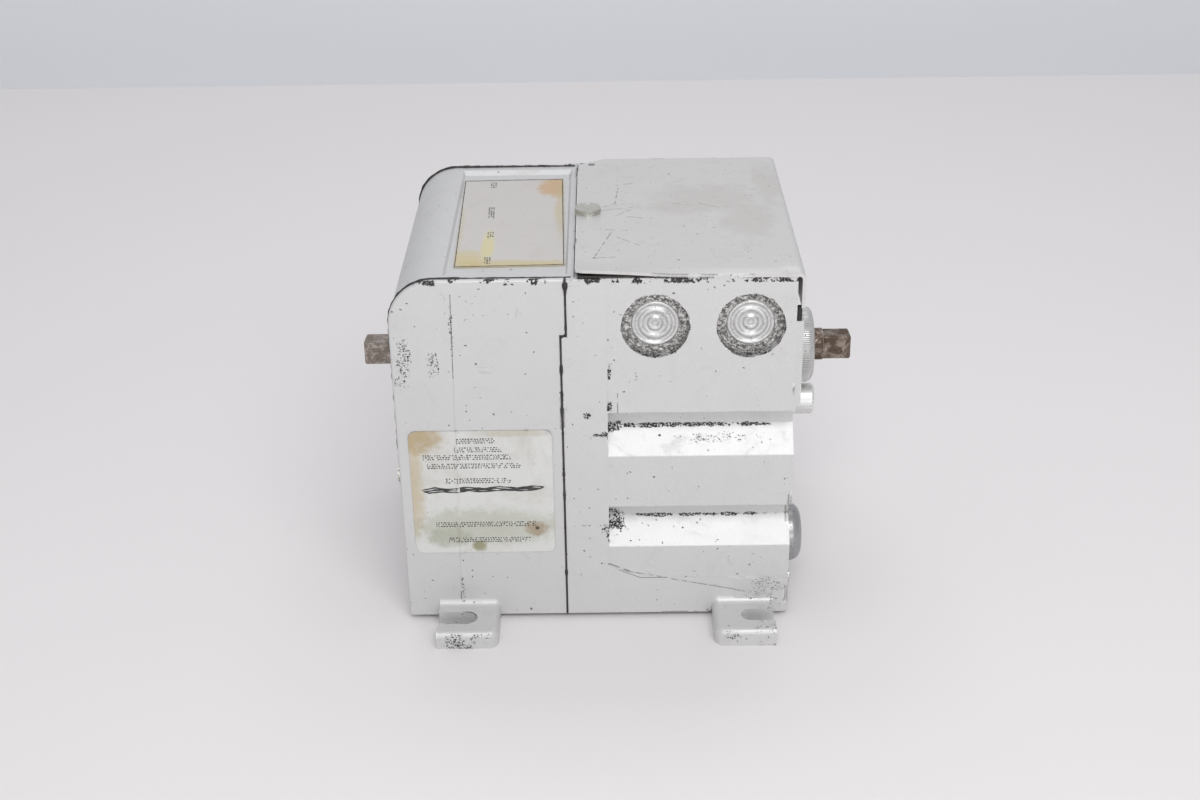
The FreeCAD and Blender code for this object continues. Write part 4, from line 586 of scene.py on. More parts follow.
@dataclass(frozen=True)
class Sheet:
    """Paper or a coated plate, soiled and stained at set places."""

    name: str
    colour: Tint
    stains: tuple[Stain, ...]
    along: Axis
    soil: Tint = (0.33, 0.31, 0.26, 1.0)
    soiling: float = 0.5
    rough: float = 0.6
    metal: float = 0.0
    fibre: float = 1300.0

    def material(self) -> bpy.types.Material:
        """Builds the shader graph.

        Returns:
            The material.
        """
        g = Graph(self.name)
        second = (g.x, g.y, g.z)[self.along.value]
        fibre = g.clouds(self.fibre, 4.0, 0.65)
        drift = g.clouds(55.0, 5.0, 0.7, 0.5)
        spots = g.clouds(420.0, 4.0, 0.7)
        colour = g.mix(fibre * 0.14, self.colour, grey(0.3))
        colour = g.mix(drift.rise(0.45, 0.8) * self.soiling, colour, self.soil)
        wet: Operand = 0.0
        for stain in self.stains:
            blot = g.blot(g.x, second, tuple(v * MM for v in stain.middle),
                          tuple(v * MM for v in stain.reach), drift * 0.6 + spots * 0.4)
            colour = g.mix(blot * stain.strength, colour, stain.tint)
            wet = blot.highest(wet)
        colour = g.mix(spots.rise(0.66, 0.74) * 0.6, colour, (0.16, 0.13, 0.09, 1.0))
        edge = g.edges(0.0006).rise(0.03, 0.25) * spots
        colour = g.mix(edge * 0.8, colour, (0.22, 0.19, 0.14, 1.0))
        rough = self.rough + 0.15 * (fibre - 0.5) + 0.1 * wet
        metal = self.metal * (1.0 - wet * 0.6) * (1.0 - drift * 0.3)
        return g.close(colour, rough, metal, fibre * 0.6 + spots * 0.4, 0.00005)


LABEL_STAINS = (
    Stain((-70.5, 80.5), (11, 8), (0.38, 0.27, 0.11, 1), 0.75),
    Stain((-73.5, 60), (5, 24), (0.46, 0.36, 0.19, 1), 0.6),
    Stain((-47, 42), (31, 9), (0.36, 0.37, 0.28, 1), 0.5),
    Stain((-60, 38), (9, 5), (0.30, 0.31, 0.22, 1), 0.45),
    Stain((-49.5, 33.8), (3.4, 3), (0.22, 0.21, 0.09, 1), 0.8),
    Stain((-27.6, 41.2), (4.6, 3.6), (0.28, 0.19, 0.10, 1), 0.65),
    Stain((-27.4, 41.4), (0.9, 0.8), (0.06, 0.04, 0.02, 1), 0.95),
    Stain((-36, 82.5), (16, 2), (0.42, 0.38, 0.28, 1), 0.5),
)
PLATE_STAINS = (
    Stain((-19.5, 36), (8.5, 13), (0.52, 0.33, 0.16, 1), 0.8),
    Stain((-52.5, -40), (9, 11), (0.56, 0.46, 0.20, 1), 0.7),
    Stain((-36, -44), (26, 4.6), (0.54, 0.45, 0.22, 1), 0.7),
    Stain((-16.0, 12), (4.0, 34), (0.50, 0.41, 0.24, 1), 0.6),
    Stain((-43.8, -26), (2.6, 16), (0.62, 0.56, 0.27, 1), 0.7),
    Stain((-55.6, -14), (2.2, 30), (0.52, 0.46, 0.32, 1), 0.45),
)


def highest_of(values: Iterable[Value]) -> Value:
    """The highest of several values."""
    return reduce(Value.highest, values)


def patched(g: Graph, patches: Sequence[tuple], ragged_rim: Value) -> Value:
    """The highest of several stains on the front face, given by x and z in millimetres."""
    return highest_of(
        g.blot(g.x, g.z, tuple(v * MM for v in centre), tuple(v * MM for v in reach), ragged_rim)
        for centre, reach in patches
    )


def casting_wear(g: Graph, ragged_rim: Value) -> Value:
    """Wear on both castings: the feet's front faces and the top front and back edges."""
    feet = (abs(g.y)).rise(0.0785, 0.0802) * g.z.rise(0.0095, 0.007)
    rims = g.z.rise(0.1405, 0.1422) * (abs(g.y)).rise(0.0584, 0.0592)
    broken = g.clouds(170.0, 4.0, 0.65)
    worn = feet * (0.35 + 0.65 * broken.rise(0.42, 0.62))
    return (worn * 0.85).highest(rims * ragged_rim.rise(0.46, 0.56) * 1.15)


def motor_pits(g: Graph) -> Value:
    """Where the motor casting is pitted: the ledges, the lower right pad and the wiring entries."""
    ragged_rim = g.clouds(220.0, 4.0, 0.65)
    mask = patched(g, (
        ((2.0, 80.5), (5.0, 2.4)), ((2.0, 40.5), (6.0, 5.0)), ((26.0, 81.0), (42.0, 0.9)),
        ((26.0, 41.8), (42.0, 0.8)),
        ((0.6, 107.0), (0.8, 4.0)), ((0.6, 92.0), (1.2, 3.0)), ((-8.0, 89.0), (2.0, 1.5)),
    ), ragged_rim)
    faint = patched(g, (((40.0, 77.0), (18.0, 2.4)), ((60.0, 12.0), (9.0, 8.0))), ragged_rim)
    mask = mask.highest(0.68 * faint)
    for middle in (17.25 * MM, 51.45 * MM):
        away = ((g.x - middle) ** 2 + (g.z - 124.7 * MM) ** 2) ** 0.5 - (ragged_rim - 0.5) * 0.0016
        mask = mask.highest(away.rise(0.0128, 0.0122) * away.rise(0.008, 0.009))
    return mask.highest(casting_wear(g, ragged_rim))


def gear_pits(g: Graph) -> Value:
    """Where the gear casting is speckled: along the parting line and near its left edge."""
    ragged_rim = g.clouds(220.0, 4.0, 0.65)
    mask = patched(g, (
        ((-55.8, 124.0), (0.9, 16.0)), ((-74.0, 112.0), (4.0, 16.0)), ((-63.0, 112.0), (3.0, 6.0)),
        ((-57.0, 14.0), (1.2, 8.0)),
    ), ragged_rim)
    return (mask * 0.75).highest(casting_wear(g, ragged_rim))


def foot_stains(g: Graph) -> Value:
    """Yellow-brown specks on the tops of the motor casting's feet."""
    tops = (abs(g.y)).rise(0.0615, 0.064) * g.z.rise(0.0098, 0.0092) * g.z.rise(0.0085, 0.0089)
    return tops * g.clouds(520.0, 4.0, 0.7).rise(0.5, 0.6) * 0.9


def cover_marks(g: Graph) -> Value:
    """Scribbled scratches on the wiring cover."""
    lines = (
        ((-1.0, 5.5), (9.0, 9.0)), ((-3.0, 1.0), (13.0, 5.0)), ((13.0, 5.0), (4.0, -4.0)),
        ((4.0, -4.0), (14.0, -7.0)), ((5.0, 26.0), (3.5, 8.0)), ((4.0, 29.0), (11.0, 31.0)),
        ((2.0, -21.0), (-4.0, -44.0)), ((-4.0, -18.0), (8.0, -19.5)), ((4.0, -26.0), (12.0, -34.0)),
        ((24.0, 9.0), (33.0, 6.0)), ((36.0, 8.0), (44.0, 3.0)), ((-5.0, -46.0), (3.0, -45.0)),
    )
    mask = highest_of(
        g.stroke(g.x, g.y, tuple(v * MM for v in start), tuple(v * MM for v in end), 0.00034)
        for start, end in lines
    )
    broken = g.clouds(380.0, 3.0, 0.6).rise(0.4, 0.56)
    return mask * broken * g.z.rise(0.14, 0.143)


def cover_stains(g: Graph) -> Value:
    """Rubbed and rusty patches on the wiring cover."""
    ragged = g.clouds(130.0, 6.0, 0.75)
    patches = (
        ((40.0, 14.0), (22.0, 16.0)), ((30.0, 4.0), (16.0, 8.0)), ((54.0, -8.0), (11.0, 20.0)),
        ((64.0, 30.0), (6.0, 24.0)),
    )
    mask = highest_of(
        g.blot(g.x, g.y, tuple(v * MM for v in centre), tuple(v * MM for v in reach), ragged)
        for centre, reach in patches
    )
    return mask * 0.2


def side_marks(g: Graph) -> Value:
    """Rubs and hairlines on the motor casting."""
    low = g.stroke(g.x, g.z, (0.004, 0.0215), (0.052, 0.0115), 0.00035)
    corner = g.stroke(g.x, g.z, (-0.0005, 0.0245), (0.0075, 0.021), 0.0005)
    high = g.stroke(g.x, g.z, (0.0035, 0.087), (0.0035, 0.098), 0.0003)
    return low.highest(corner).highest(high) * g.clouds(300.0, 3.0).rise(0.36, 0.52)


@dataclass(frozen=True)
class Finishes:
    """Every finish on the actuator."""

    gear_casting: Paint = Paint("paint_gear_casting", tone=0.62, chipping=1.15, pits=gear_pits)
    motor_casting: Paint = Paint("paint_motor_casting", tone=0.63, chipping=1.0, marks=side_marks,
                                pits=motor_pits, stains=foot_stains)
    gear_cover: Paint = Paint("paint_gear_cover", tone=0.62, chipping=1.1, specks=0.6,
                              rough=0.4, peel=0.3)
    end_plate: Paint = Paint("paint_end_plate", tone=0.62, chipping=1.1)
    wiring_cover: Paint = Paint(
        "paint_wiring_cover", tone=0.62, warmth=0.012, chipping=0.9, specks=0.7, soiling=0.8,
        peel=0.25, rough=0.42, marks=cover_marks, stains=cover_stains,
    )
    rusty_steel: Metal = Metal("rusty_shaft_steel", (0.30, 0.25, 0.21, 1), (0.085, 0.047, 0.028, 1),
                               rough=0.42, tarnished=0.85, spread=220.0, pitting=0.12, worn_edge=0.5,
                               left_colour=(0.46, 0.41, 0.37, 1))
    label: Sheet = Sheet("label_paper", (0.64, 0.64, 0.625, 1), LABEL_STAINS, Axis.Z,
                         soil=(0.46, 0.45, 0.40, 1), soiling=0.7)
    plate: Sheet = Sheet("etched_plate", (0.60, 0.575, 0.55, 1), PLATE_STAINS, Axis.Y,
                         soil=(0.42, 0.39, 0.33, 1), soiling=0.3, rough=0.42, metal=0.25, fibre=2200.0)
    knockout: Metal = Metal("knockout_steel", (0.66, 0.66, 0.655, 1), (0.36, 0.35, 0.33, 1),
                            rough=0.36, metallic=0.75, tarnished=0.35, spread=300.0, pitting=0.1)
    pitted: Metal = Metal("pitted_casting", (0.60, 0.59, 0.57, 1), (0.035, 0.032, 0.03, 1),
                          rough=0.34, tarnished=0.75, spread=700.0, pitting=0.35)
    cap_steel: Metal = Metal("drawn_cap_steel", (0.40, 0.40, 0.41, 1), (0.27, 0.25, 0.22, 1),
                             rough=0.34, metallic=0.8, tarnished=0.3, pitting=0.08)
    zinc_plate: Metal = Metal("zinc_plated_steel", (0.62, 0.62, 0.56, 1), (0.30, 0.29, 0.20, 1),
                              rough=0.3, tarnished=0.4, spread=260.0)
    sheet_steel: Metal = Metal("plated_sheet_steel", (0.58, 0.58, 0.57, 1), (0.33, 0.31, 0.26, 1),
                               rough=0.36, tarnished=0.25, grain=Axis.Z)
    turned_steel: Metal = Metal("turned_steel", (0.56, 0.56, 0.56, 1), (0.28, 0.25, 0.2, 1),
                                rough=0.26, tarnished=0.25, grain=Axis.X, pitting=0.04)
    gear_steel: Metal = Metal("cut_gear_steel", (0.5, 0.5, 0.5, 1), (0.2, 0.18, 0.13, 1),
                              rough=0.3, tarnished=0.35, grain=Axis.Y, pitting=0.06)
    polished: Metal = Metal("polished_steel", (0.5, 0.5, 0.51, 1), (0.36, 0.34, 0.31, 1),
                            rough=0.2, tarnished=0.2, pitting=0.05, grain_depth=0.1)
    stub_zinc: Metal = Metal("plated_stub", (0.86, 0.86, 0.85, 1), (0.66, 0.64, 0.58, 1),
                             rough=0.4, metallic=0.6, tarnished=0.3, pitting=0.05)
    dial_zinc: Metal = Metal("dull_zinc", (0.62, 0.62, 0.61, 1), (0.42, 0.41, 0.38, 1),
                             rough=0.42, metallic=0.7, tarnished=0.4, pitting=0.08)
    brass: Metal = Metal("cut_brass", (0.72, 0.53, 0.24, 1), (0.36, 0.24, 0.1, 1),
                         rough=0.28, tarnished=0.35, pitting=0.04)
    bronze: Metal = Metal("sintered_bronze", (0.48, 0.31, 0.14, 1), (0.2, 0.12, 0.05, 1),
                          rough=0.5, tarnished=0.4, pitting=0.3, spread=400.0)
    can: Metal = Metal("drawn_can", (0.66, 0.67, 0.69, 1), (0.5, 0.5, 0.5, 1),
                       rough=0.3, tarnished=0.15, grain=Axis.Z, pitting=0.03)
    rubber: Moulded = Moulded("black_rubber", (0.018, 0.017, 0.016, 1), rough=0.7, dusting=0.35)
    compound: Moulded = Moulded("joint_compound", (0.013, 0.011, 0.010, 1), rough=0.5, dusting=0.2)
    ink: Moulded = Moulded("print_ink", (0.03, 0.03, 0.03, 1), rough=0.6, dusting=0.3)
    marker: Moulded = Moulded("marker_ink", (0.016, 0.016, 0.018, 1), rough=0.42, dusting=0.15)
    phenolic: Moulded = Moulded("phenolic", (0.035, 0.018, 0.012, 1), rough=0.38, dusting=0.25,
                                mottle=0.5)
    stack: Wound = Wound("lamination_stack", (0.33, 0.33, 0.35, 1), (0.06, 0.05, 0.05, 1),
                         0.0009, Axis.X, rough=0.4)
    coil: Wound = Wound("enamelled_coil", (0.55, 0.22, 0.08, 1), (0.09, 0.03, 0.015, 1),
                        0.0007, Axis.X, rough=0.28)
    upright_coil: Wound = Wound("upright_coil", (0.55, 0.22, 0.08, 1), (0.09, 0.03, 0.015, 1),
                                0.0006, Axis.Z, rough=0.28)


class Workshop:
    """Makes each finish once, dresses CAD nodes and finishes new pieces."""

    def __init__(self) -> None:
        """Starts with no material made."""
        self.made: dict[str, bpy.types.Material] = {}

    def material(self, finish: object) -> bpy.types.Material:
        """A finish's material, made the first time it is asked for."""
        if finish.name not in self.made:
            self.made[finish.name] = finish.material()
        return self.made[finish.name]

    def dress(self, finish: object, *nodes: str) -> None:
        """Gives CAD nodes a finish.

        Args:
            finish: the finish.
            nodes: the names of the nodes.
        """
        for name in nodes:
            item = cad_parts[name]
            item.data.materials.clear()
            item.data.materials.append(self.material(finish))
            log.info("dressed %s as %s", name, finish.name)

    def piece(
        self, name: str, shape: bmesh.types.BMesh, finish: object, body: str, slot: Slot,
        replaces: Iterable[str] = (), sharp: float = SHARP_ANGLE,
    ) -> bpy.types.Object:
        """Turns a finished bmesh into a shown piece.

        Args:
            name: the piece's name.
            shape: its bmesh, in metres in the row frame; it is freed.
            finish: its finish.
            body: the CAD body it rides on.
            slot: the record's slot; it is not used.
            replaces: the CAD nodes it stands for.
            sharp: the angle from which an edge shows as a crease.

        Returns:
            The object.
        """
        mesh = bpy.data.meshes.new(name)
        shape.to_mesh(mesh)
        shape.free()
        mesh.shade_smooth()
        mesh.set_sharp_from_angle(angle=sharp)
        mesh.materials.append(self.material(finish))
        item = bpy.data.objects.new(name, mesh)
        bpy.context.scene.collection.objects.link(item)
        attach(item, body)
        if replaces:
            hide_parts(*replaces)
        log.info("built %s with %d faces", name, len(mesh.polygons))
        return item


# ---------------------------------------------------------------------- shapes


Surface = Callable[[float, float], float]


def rounded_grid(
    size: tuple[float, float], radius: float, cells: tuple[int, int], surface: Surface, thick: float,
) -> bmesh.types.BMesh:
    """A thin sheet with round corners, fine enough to be bent.

    Args:
        size: its width and height.
        radius: the radius of its corners.
        cells: how many cells it has across and along.
        surface: the height of its outer face at a place on it.
        thick: its thickness.

    Returns:
        The sheet, lying on X and Y around the origin with its outer face up.
    """
    shape = bmesh.new()
    wide, tall = size
    across, along = cells
    bends = [radius * (1 - math.cos(step * math.pi / 12)) for step in range(6)]
    middle = [radius + (tall - 2 * radius) * step / along for step in range(along + 1)]
    levels = bends + middle + [tall - level for level in reversed(bends)]
    sides: list[list[list[bmesh.types.BMVert]]] = []
    for drop in (0.0, thick):
        rows = []
        for level in levels:
            near = max(0.0, radius - min(level, tall - level))
            inset = radius - math.sqrt(max(0.0, radius ** 2 - near ** 2))
            row = []
            for step in range(across + 1):
                x = -wide / 2 + inset + (wide - 2 * inset) * step / across
                y = -tall / 2 + level
                row.append(shape.verts.new((x, y, surface(x, y) - drop)))
            rows.append(row)
        sides.append(rows)
    outer, inner = sides
    for rows, flip in ((outer, False), (inner, True)):
        for low, high in zip(rows, rows[1:]):
            for i in range(across):
                quad = (low[i], low[i + 1], high[i + 1], high[i])
                shape.faces.new(tuple(reversed(quad)) if flip else quad)
    rim = (
        (outer[0], inner[0]), ([row[-1] for row in outer], [row[-1] for row in inner]),
        (outer[-1][::-1], inner[-1][::-1]),
        ([row[0] for row in outer][::-1], [row[0] for row in inner][::-1]),
    )
    for upper, lower in rim:
        for i in range(len(upper) - 1):
            shape.faces.new((upper[i + 1], upper[i], lower[i], lower[i + 1]))
    bmesh.ops.recalc_face_normals(shape, faces=shape.faces)
    return shape


def swept(points: Sequence[Vector], radii: Sequence[float], sides: int = 8) -> bmesh.types.BMesh:
    """A closed bead of varying thickness along a path.

    Args:
        points: the path.
        radii: the bead's radius at each point.
        sides: how many sides it has.

    Returns:
        The bead.
    """
    shape = bmesh.new()
    rings = []
    for i, (point, radius) in enumerate(zip(points, radii)):
        ahead = (points[min(i + 1, len(points) - 1)] - points[max(i - 1, 0)]).normalized()
        side = ahead.orthogonal() if i == 0 else side - ahead * side.dot(ahead)
        side = side.normalized()
        other = ahead.cross(side)
        ring = []
        for step in range(sides):
            angle = 2 * math.pi * step / sides
            ring.append(shape.verts.new(
                point + (side * math.cos(angle) + other * math.sin(angle)) * radius
            ))
        rings.append(ring)
    for first, second in zip(rings, rings[1:]):
        for i in range(sides):
            j = (i + 1) % sides
            shape.faces.new((first[i], first[j], second[j], second[i]))
    shape.faces.new(tuple(reversed(rings[0])))
    shape.faces.new(tuple(rings[-1]))
    bmesh.ops.recalc_face_normals(shape, faces=shape.faces)
    return shape


def turned(profile: Sequence[tuple[float, float]], steps: int = 72) -> bmesh.types.BMesh:
    """A closed solid of revolution.

    Args:
        profile: radius and height of its outline, starting and ending on the axis.
        steps: how many segments the turn has.

    Returns:
        The solid, around Z.
    """
    shape = bmesh.new()
    verts = [shape.verts.new((radius, 0.0, height)) for radius, height in profile]
    edges = [shape.edges.new(pair) for pair in zip(verts, verts[1:])]
    bmesh.ops.spin(shape, geom=verts + edges, cent=(0, 0, 0), axis=(0, 0, 1), dvec=(0, 0, 0),
                   angle=2 * math.pi, steps=steps, use_merge=True, use_duplicate=False)
    bmesh.ops.remove_doubles(shape, verts=shape.verts, dist=1e-7)
    bmesh.ops.recalc_face_normals(shape, faces=shape.faces)
    return shape


def ribbon(path: Sequence[Sequence[tuple[float, float]]], surface: Surface, lift: float,
           sink: float) -> bmesh.types.BMesh:
    """A thin closed strip that follows a sheet.

    Args:
        path: pairs of places, one on each side of the strip.
        surface: the height of the sheet's face.
        lift: how far the strip stands above the face.
        sink: how far it reaches below the face.

    Returns:
        The strip.
    """
    shape = bmesh.new()
    rows = [
        [shape.verts.new((x, y, surface(x, y) + level)) for level in (lift, -sink) for x, y in pair]
        for pair in path
    ]
    for first, second in zip(rows, rows[1:]):
        for i, j in ((0, 1), (1, 3), (3, 2), (2, 0)):
            shape.faces.new((first[i], first[j], second[j], second[i]))
    for ends in (rows[0], rows[-1]):
        shape.faces.new((ends[0], ends[1], ends[3], ends[2]))
    bmesh.ops.recalc_face_normals(shape, faces=shape.faces)
    return shape


def joined(shapes: Iterable[bmesh.types.BMesh]) -> bmesh.types.BMesh:
    """Gathers several bmeshes into one and frees them."""
    whole = bmesh.new()
    for shape in shapes:
        held = bpy.data.meshes.new("held")
        shape.to_mesh(held)
        shape.free()
        whole.from_mesh(held)
        bpy.data.meshes.remove(held)
    return whole


def moved(shape: bmesh.types.BMesh, matrix: Matrix) -> bmesh.types.BMesh:
    """Moves and turns a bmesh, and returns it."""
    bmesh.ops.transform(shape, matrix=matrix, verts=shape.verts)
    return shape


def ragged(place: Vector, scale: float) -> float:
    """Noise between about -1 and 1 at a place in metres."""
    return noise.noise(place * scale)


# ------------------------------------------------------------- labels and plates


@dataclass(frozen=True)
class Print:
    """Small ink dashes laid out in rows; they spell nothing."""

    rows: tuple[tuple[float, float, float], ...]
    tall: float
    weight: float = 1.0

    def marks(self, size: tuple[float, float], surface: Surface) -> list[bmesh.types.BMesh]:
        """Builds the dashes.

        Args:
            size: the sheet's width and height.
            surface: the height of its outer face.

        Returns:
            One bmesh for each dash.
        """
        wide, tall = size
        made = []
        for level, start, end in self.rows:
            for part in (-0.42, 0.0, 0.42):
                x = -wide / 2 + start * wide + random.uniform(0.0, 0.2) * self.tall
                y = tall / 2 - level * tall + part * self.tall
                while x < -wide / 2 + end * wide:
                    run = random.uniform(0.12, 0.42) * self.tall
                    made.append(self._dash(x, x + run, y, self.tall * 0.17 * self.weight, surface))
                    x += run + random.choice((0.16, 0.22, 0.3, 0.3, 0.75)) * self.tall
        return made

    def _dash(self, start: float, end: float, level: float, height: float,
              surface: Surface) -> bmesh.types.BMesh:
        """One dash that follows the sheet."""
        count = max(1, round((end - start) / (0.8 * MM)))
        path = []
        for step in range(count + 1):
            x = start + (end - start) * step / count
            path.append(((x, level - height / 2), (x, level + height / 2)))
        return ribbon(path, surface, 0.03 * MM, 0.05 * MM)


@dataclass
class ServiceLabel:
    """The paper label, creased over the parting line, with a marker strike across it."""

    shop: Workshop
    finishes: "Finishes"
    rows: tuple[tuple[float, float, float], ...] = (
        (0.08, 0.33, 0.59), (0.15, 0.31, 0.64), (0.21, 0.09, 0.70), (0.28, 0.12, 0.76),
        (0.40, 0.24, 0.69), (0.76, 0.15, 0.86), (0.89, 0.24, 0.82),
    )
    strike: tuple[tuple[float, float], ...] = (
        (0.07, 0.475), (0.16, 0.455), (0.27, 0.47), (0.38, 0.452), (0.5, 0.465), (0.62, 0.45),
        (0.74, 0.462), (0.86, 0.448), (0.93, 0.456), (0.88, 0.478), (0.77, 0.486), (0.64, 0.478),
        (0.52, 0.49), (0.4, 0.482), (0.3, 0.495), (0.2, 0.488), (0.12, 0.498), (0.08, 0.486),
        (0.2, 0.47), (0.34, 0.462), (0.46, 0.475), (0.58, 0.464), (0.7, 0.474), (0.82, 0.462),
        (0.9, 0.466), (0.78, 0.472), (0.6, 0.482), (0.44, 0.47), (0.28, 0.48), (0.14, 0.47),
    )

    def build(self) -> None:
        """Builds the sheet, its print and the strike."""
        low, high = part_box("service_label")
        self.size = (high[0] - low[0], high[2] - low[2])
        middle = Vector(((low[0] + high[0]) / 2, low[1], (low[2] + high[2]) / 2))
        upright = Matrix.Translation(middle) @ Matrix.Rotation(math.pi / 2, 4, "X")
        sheet = rounded_grid(self.size, 3 * MM, (96, 96), self.surface, 0.18 * MM)
        self.shop.piece("label_sheet", moved(sheet, upright), self.finishes.label, "casing",
                        Slot.LABEL, ("service_label",))
        ink = Print(self.rows, 1.9 * MM, 1.5).marks(self.size, self.surface)
        self.shop.piece("label_print", moved(joined(ink), upright), self.finishes.ink, "casing",
                        Slot.GASKET)
        self.shop.piece("label_strike", moved(self.marker(), upright), self.finishes.marker,
                        "casing", Slot.GASKET)

    def surface(self, x: float, y: float) -> float:
        """The height of the paper's outer face, with its crease and wrinkles."""
        u, v = x / self.size[0] + 0.5, y / self.size[1] + 0.5
        crease = 0.42 * math.exp(-((u - 0.325 - 0.01 * v) / 0.011) ** 2)
        waves = 0.09 * ragged(Vector((x, y * 0.6, 0.3)), 190.0)
        loose = max(0.0, u - 0.35) * max(0.0, v - 0.45)
        folds = 3.4 * loose * max(0.0, ragged(Vector((x * 1.8, y * 0.7, 3.1)), 210.0))
        curl = 0.35 * max(0.0, 0.09 - u) / 0.09 * max(0.0, v - 0.82) / 0.18
        return (0.05 + crease + max(waves, -0.04) + folds + curl) * MM

    def marker(self) -> bmesh.types.BMesh:
        """The looped marker stroke."""
        wide, tall = self.size
        path = []
        for (u0, v0), (u1, v1) in zip(self.strike, self.strike[1:]):
            for step in range(8):
                share = step / 8
                u, v = u0 + (u1 - u0) * share, v0 + (v1 - v0) * share
                x = (u - 0.5) * wide
                y = (0.5 - v) * tall + 0.15 * MM * ragged(Vector((x, v, 7.0)), 260.0)
                path.append((x, y))
        sides = []
        for i, (x, y) in enumerate(path):
            ahead = Vector(path[min(i + 1, len(path) - 1)]) - Vector(path[max(i - 1, 0)])
            across = Vector((-ahead.y, ahead.x)).normalized()
            half = (0.27 + 0.22 * ragged(Vector((x, y, 2.0)), 420.0)) * MM
            near, far = Vector((x, y)) + across * half, Vector((x, y)) - across * half
            sides.append(((near.x, near.y), (far.x, far.y)))
        return ribbon(sides, self.surface, 0.035 * MM, 0.04 * MM)


@dataclass
class NamePlate:
    """The etched plate in the gear cover's recess."""

    shop: Workshop
    finishes: "Finishes"
    size: tuple[float, float] = (40.2 * MM, 90 * MM)
    middle: Place = (-36.05 * MM, -0.6 * MM, 142.6 * MM)
    turn: float = math.radians(1.4)
    groups: tuple[tuple[float, float, float], ...] = (
        (0.70, 0.03, 0.10), (0.70, 0.34, 0.47), (0.69, 0.63, 0.69), (0.70, 0.90, 0.965),
    )

    def build(self) -> None:
        """Builds the plate, its border and its marks."""
        place = Matrix.Translation(self.middle) @ Matrix.Rotation(self.turn, 4, "Z")
        sheet = rounded_grid(self.size, 1 * MM, (24, 56), self.surface, 0.36 * MM)
        self.shop.piece("plate_sheet", moved(sheet, place), self.finishes.plate, "casing",
                        Slot.PLATE, ("nameplate",))
        rows = tuple((column, start, end) for column, start, end in self.groups)
        quarter = Matrix.Rotation(-math.pi / 2, 4, "Z")
        marks = Print(rows, 2.1 * MM, 1.7).marks(
            (self.size[1], self.size[0]), lambda x, y: self.surface(y, -x)
        )
        self.shop.piece("plate_marks", moved(joined(marks), place @ quarter), self.finishes.ink,
                        "casing", Slot.GASKET)
        # the border line, in the ink finish, paints the shade of the gap to the recess together with
        # grime
        self.shop.piece("plate_border", moved(self.border(), place), self.finishes.ink, "casing",
                        Slot.GASKET)

    def surface(self, x: float, y: float) -> float:
        """The height of the plate's face; its edge is a little bent near one corner."""
        dent = 0.25 * math.exp(-((x - 18 * MM) ** 2 + (y + 4 * MM) ** 2) / (2.2 * MM) ** 2)
        wave = 0.05 * ragged(Vector((x, y, 0.7)), 60.0)
        return (0.02 + wave - dent) * MM

    def border(self) -> bmesh.types.BMesh:
        """The dark line around the plate: partly grime, partly painted shade of the gap to the recess.
        """
        half_x, half_y = self.size[0] / 2 - 0.45 * MM, self.size[1] / 2 - 0.45 * MM
        corners = ((-half_x, -half_y), (half_x, -half_y), (half_x, half_y), (-half_x, half_y))
        path = []
        for (x0, y0), (x1, y1) in zip(corners, corners[1:] + corners[:1]):
            for step in range(40):
                x, y = x0 + (x1 - x0) * step / 40, y0 + (y1 - y0) * step / 40
                path.append(Vector((x, y, self.surface(x, y))))
        radii = [(0.17 + 0.08 * ragged(point, 500.0)) * MM for point in path]
        return swept(path + path[:1], radii + radii[:1], 6)


# ------------------------------------------------------------- covers and joints


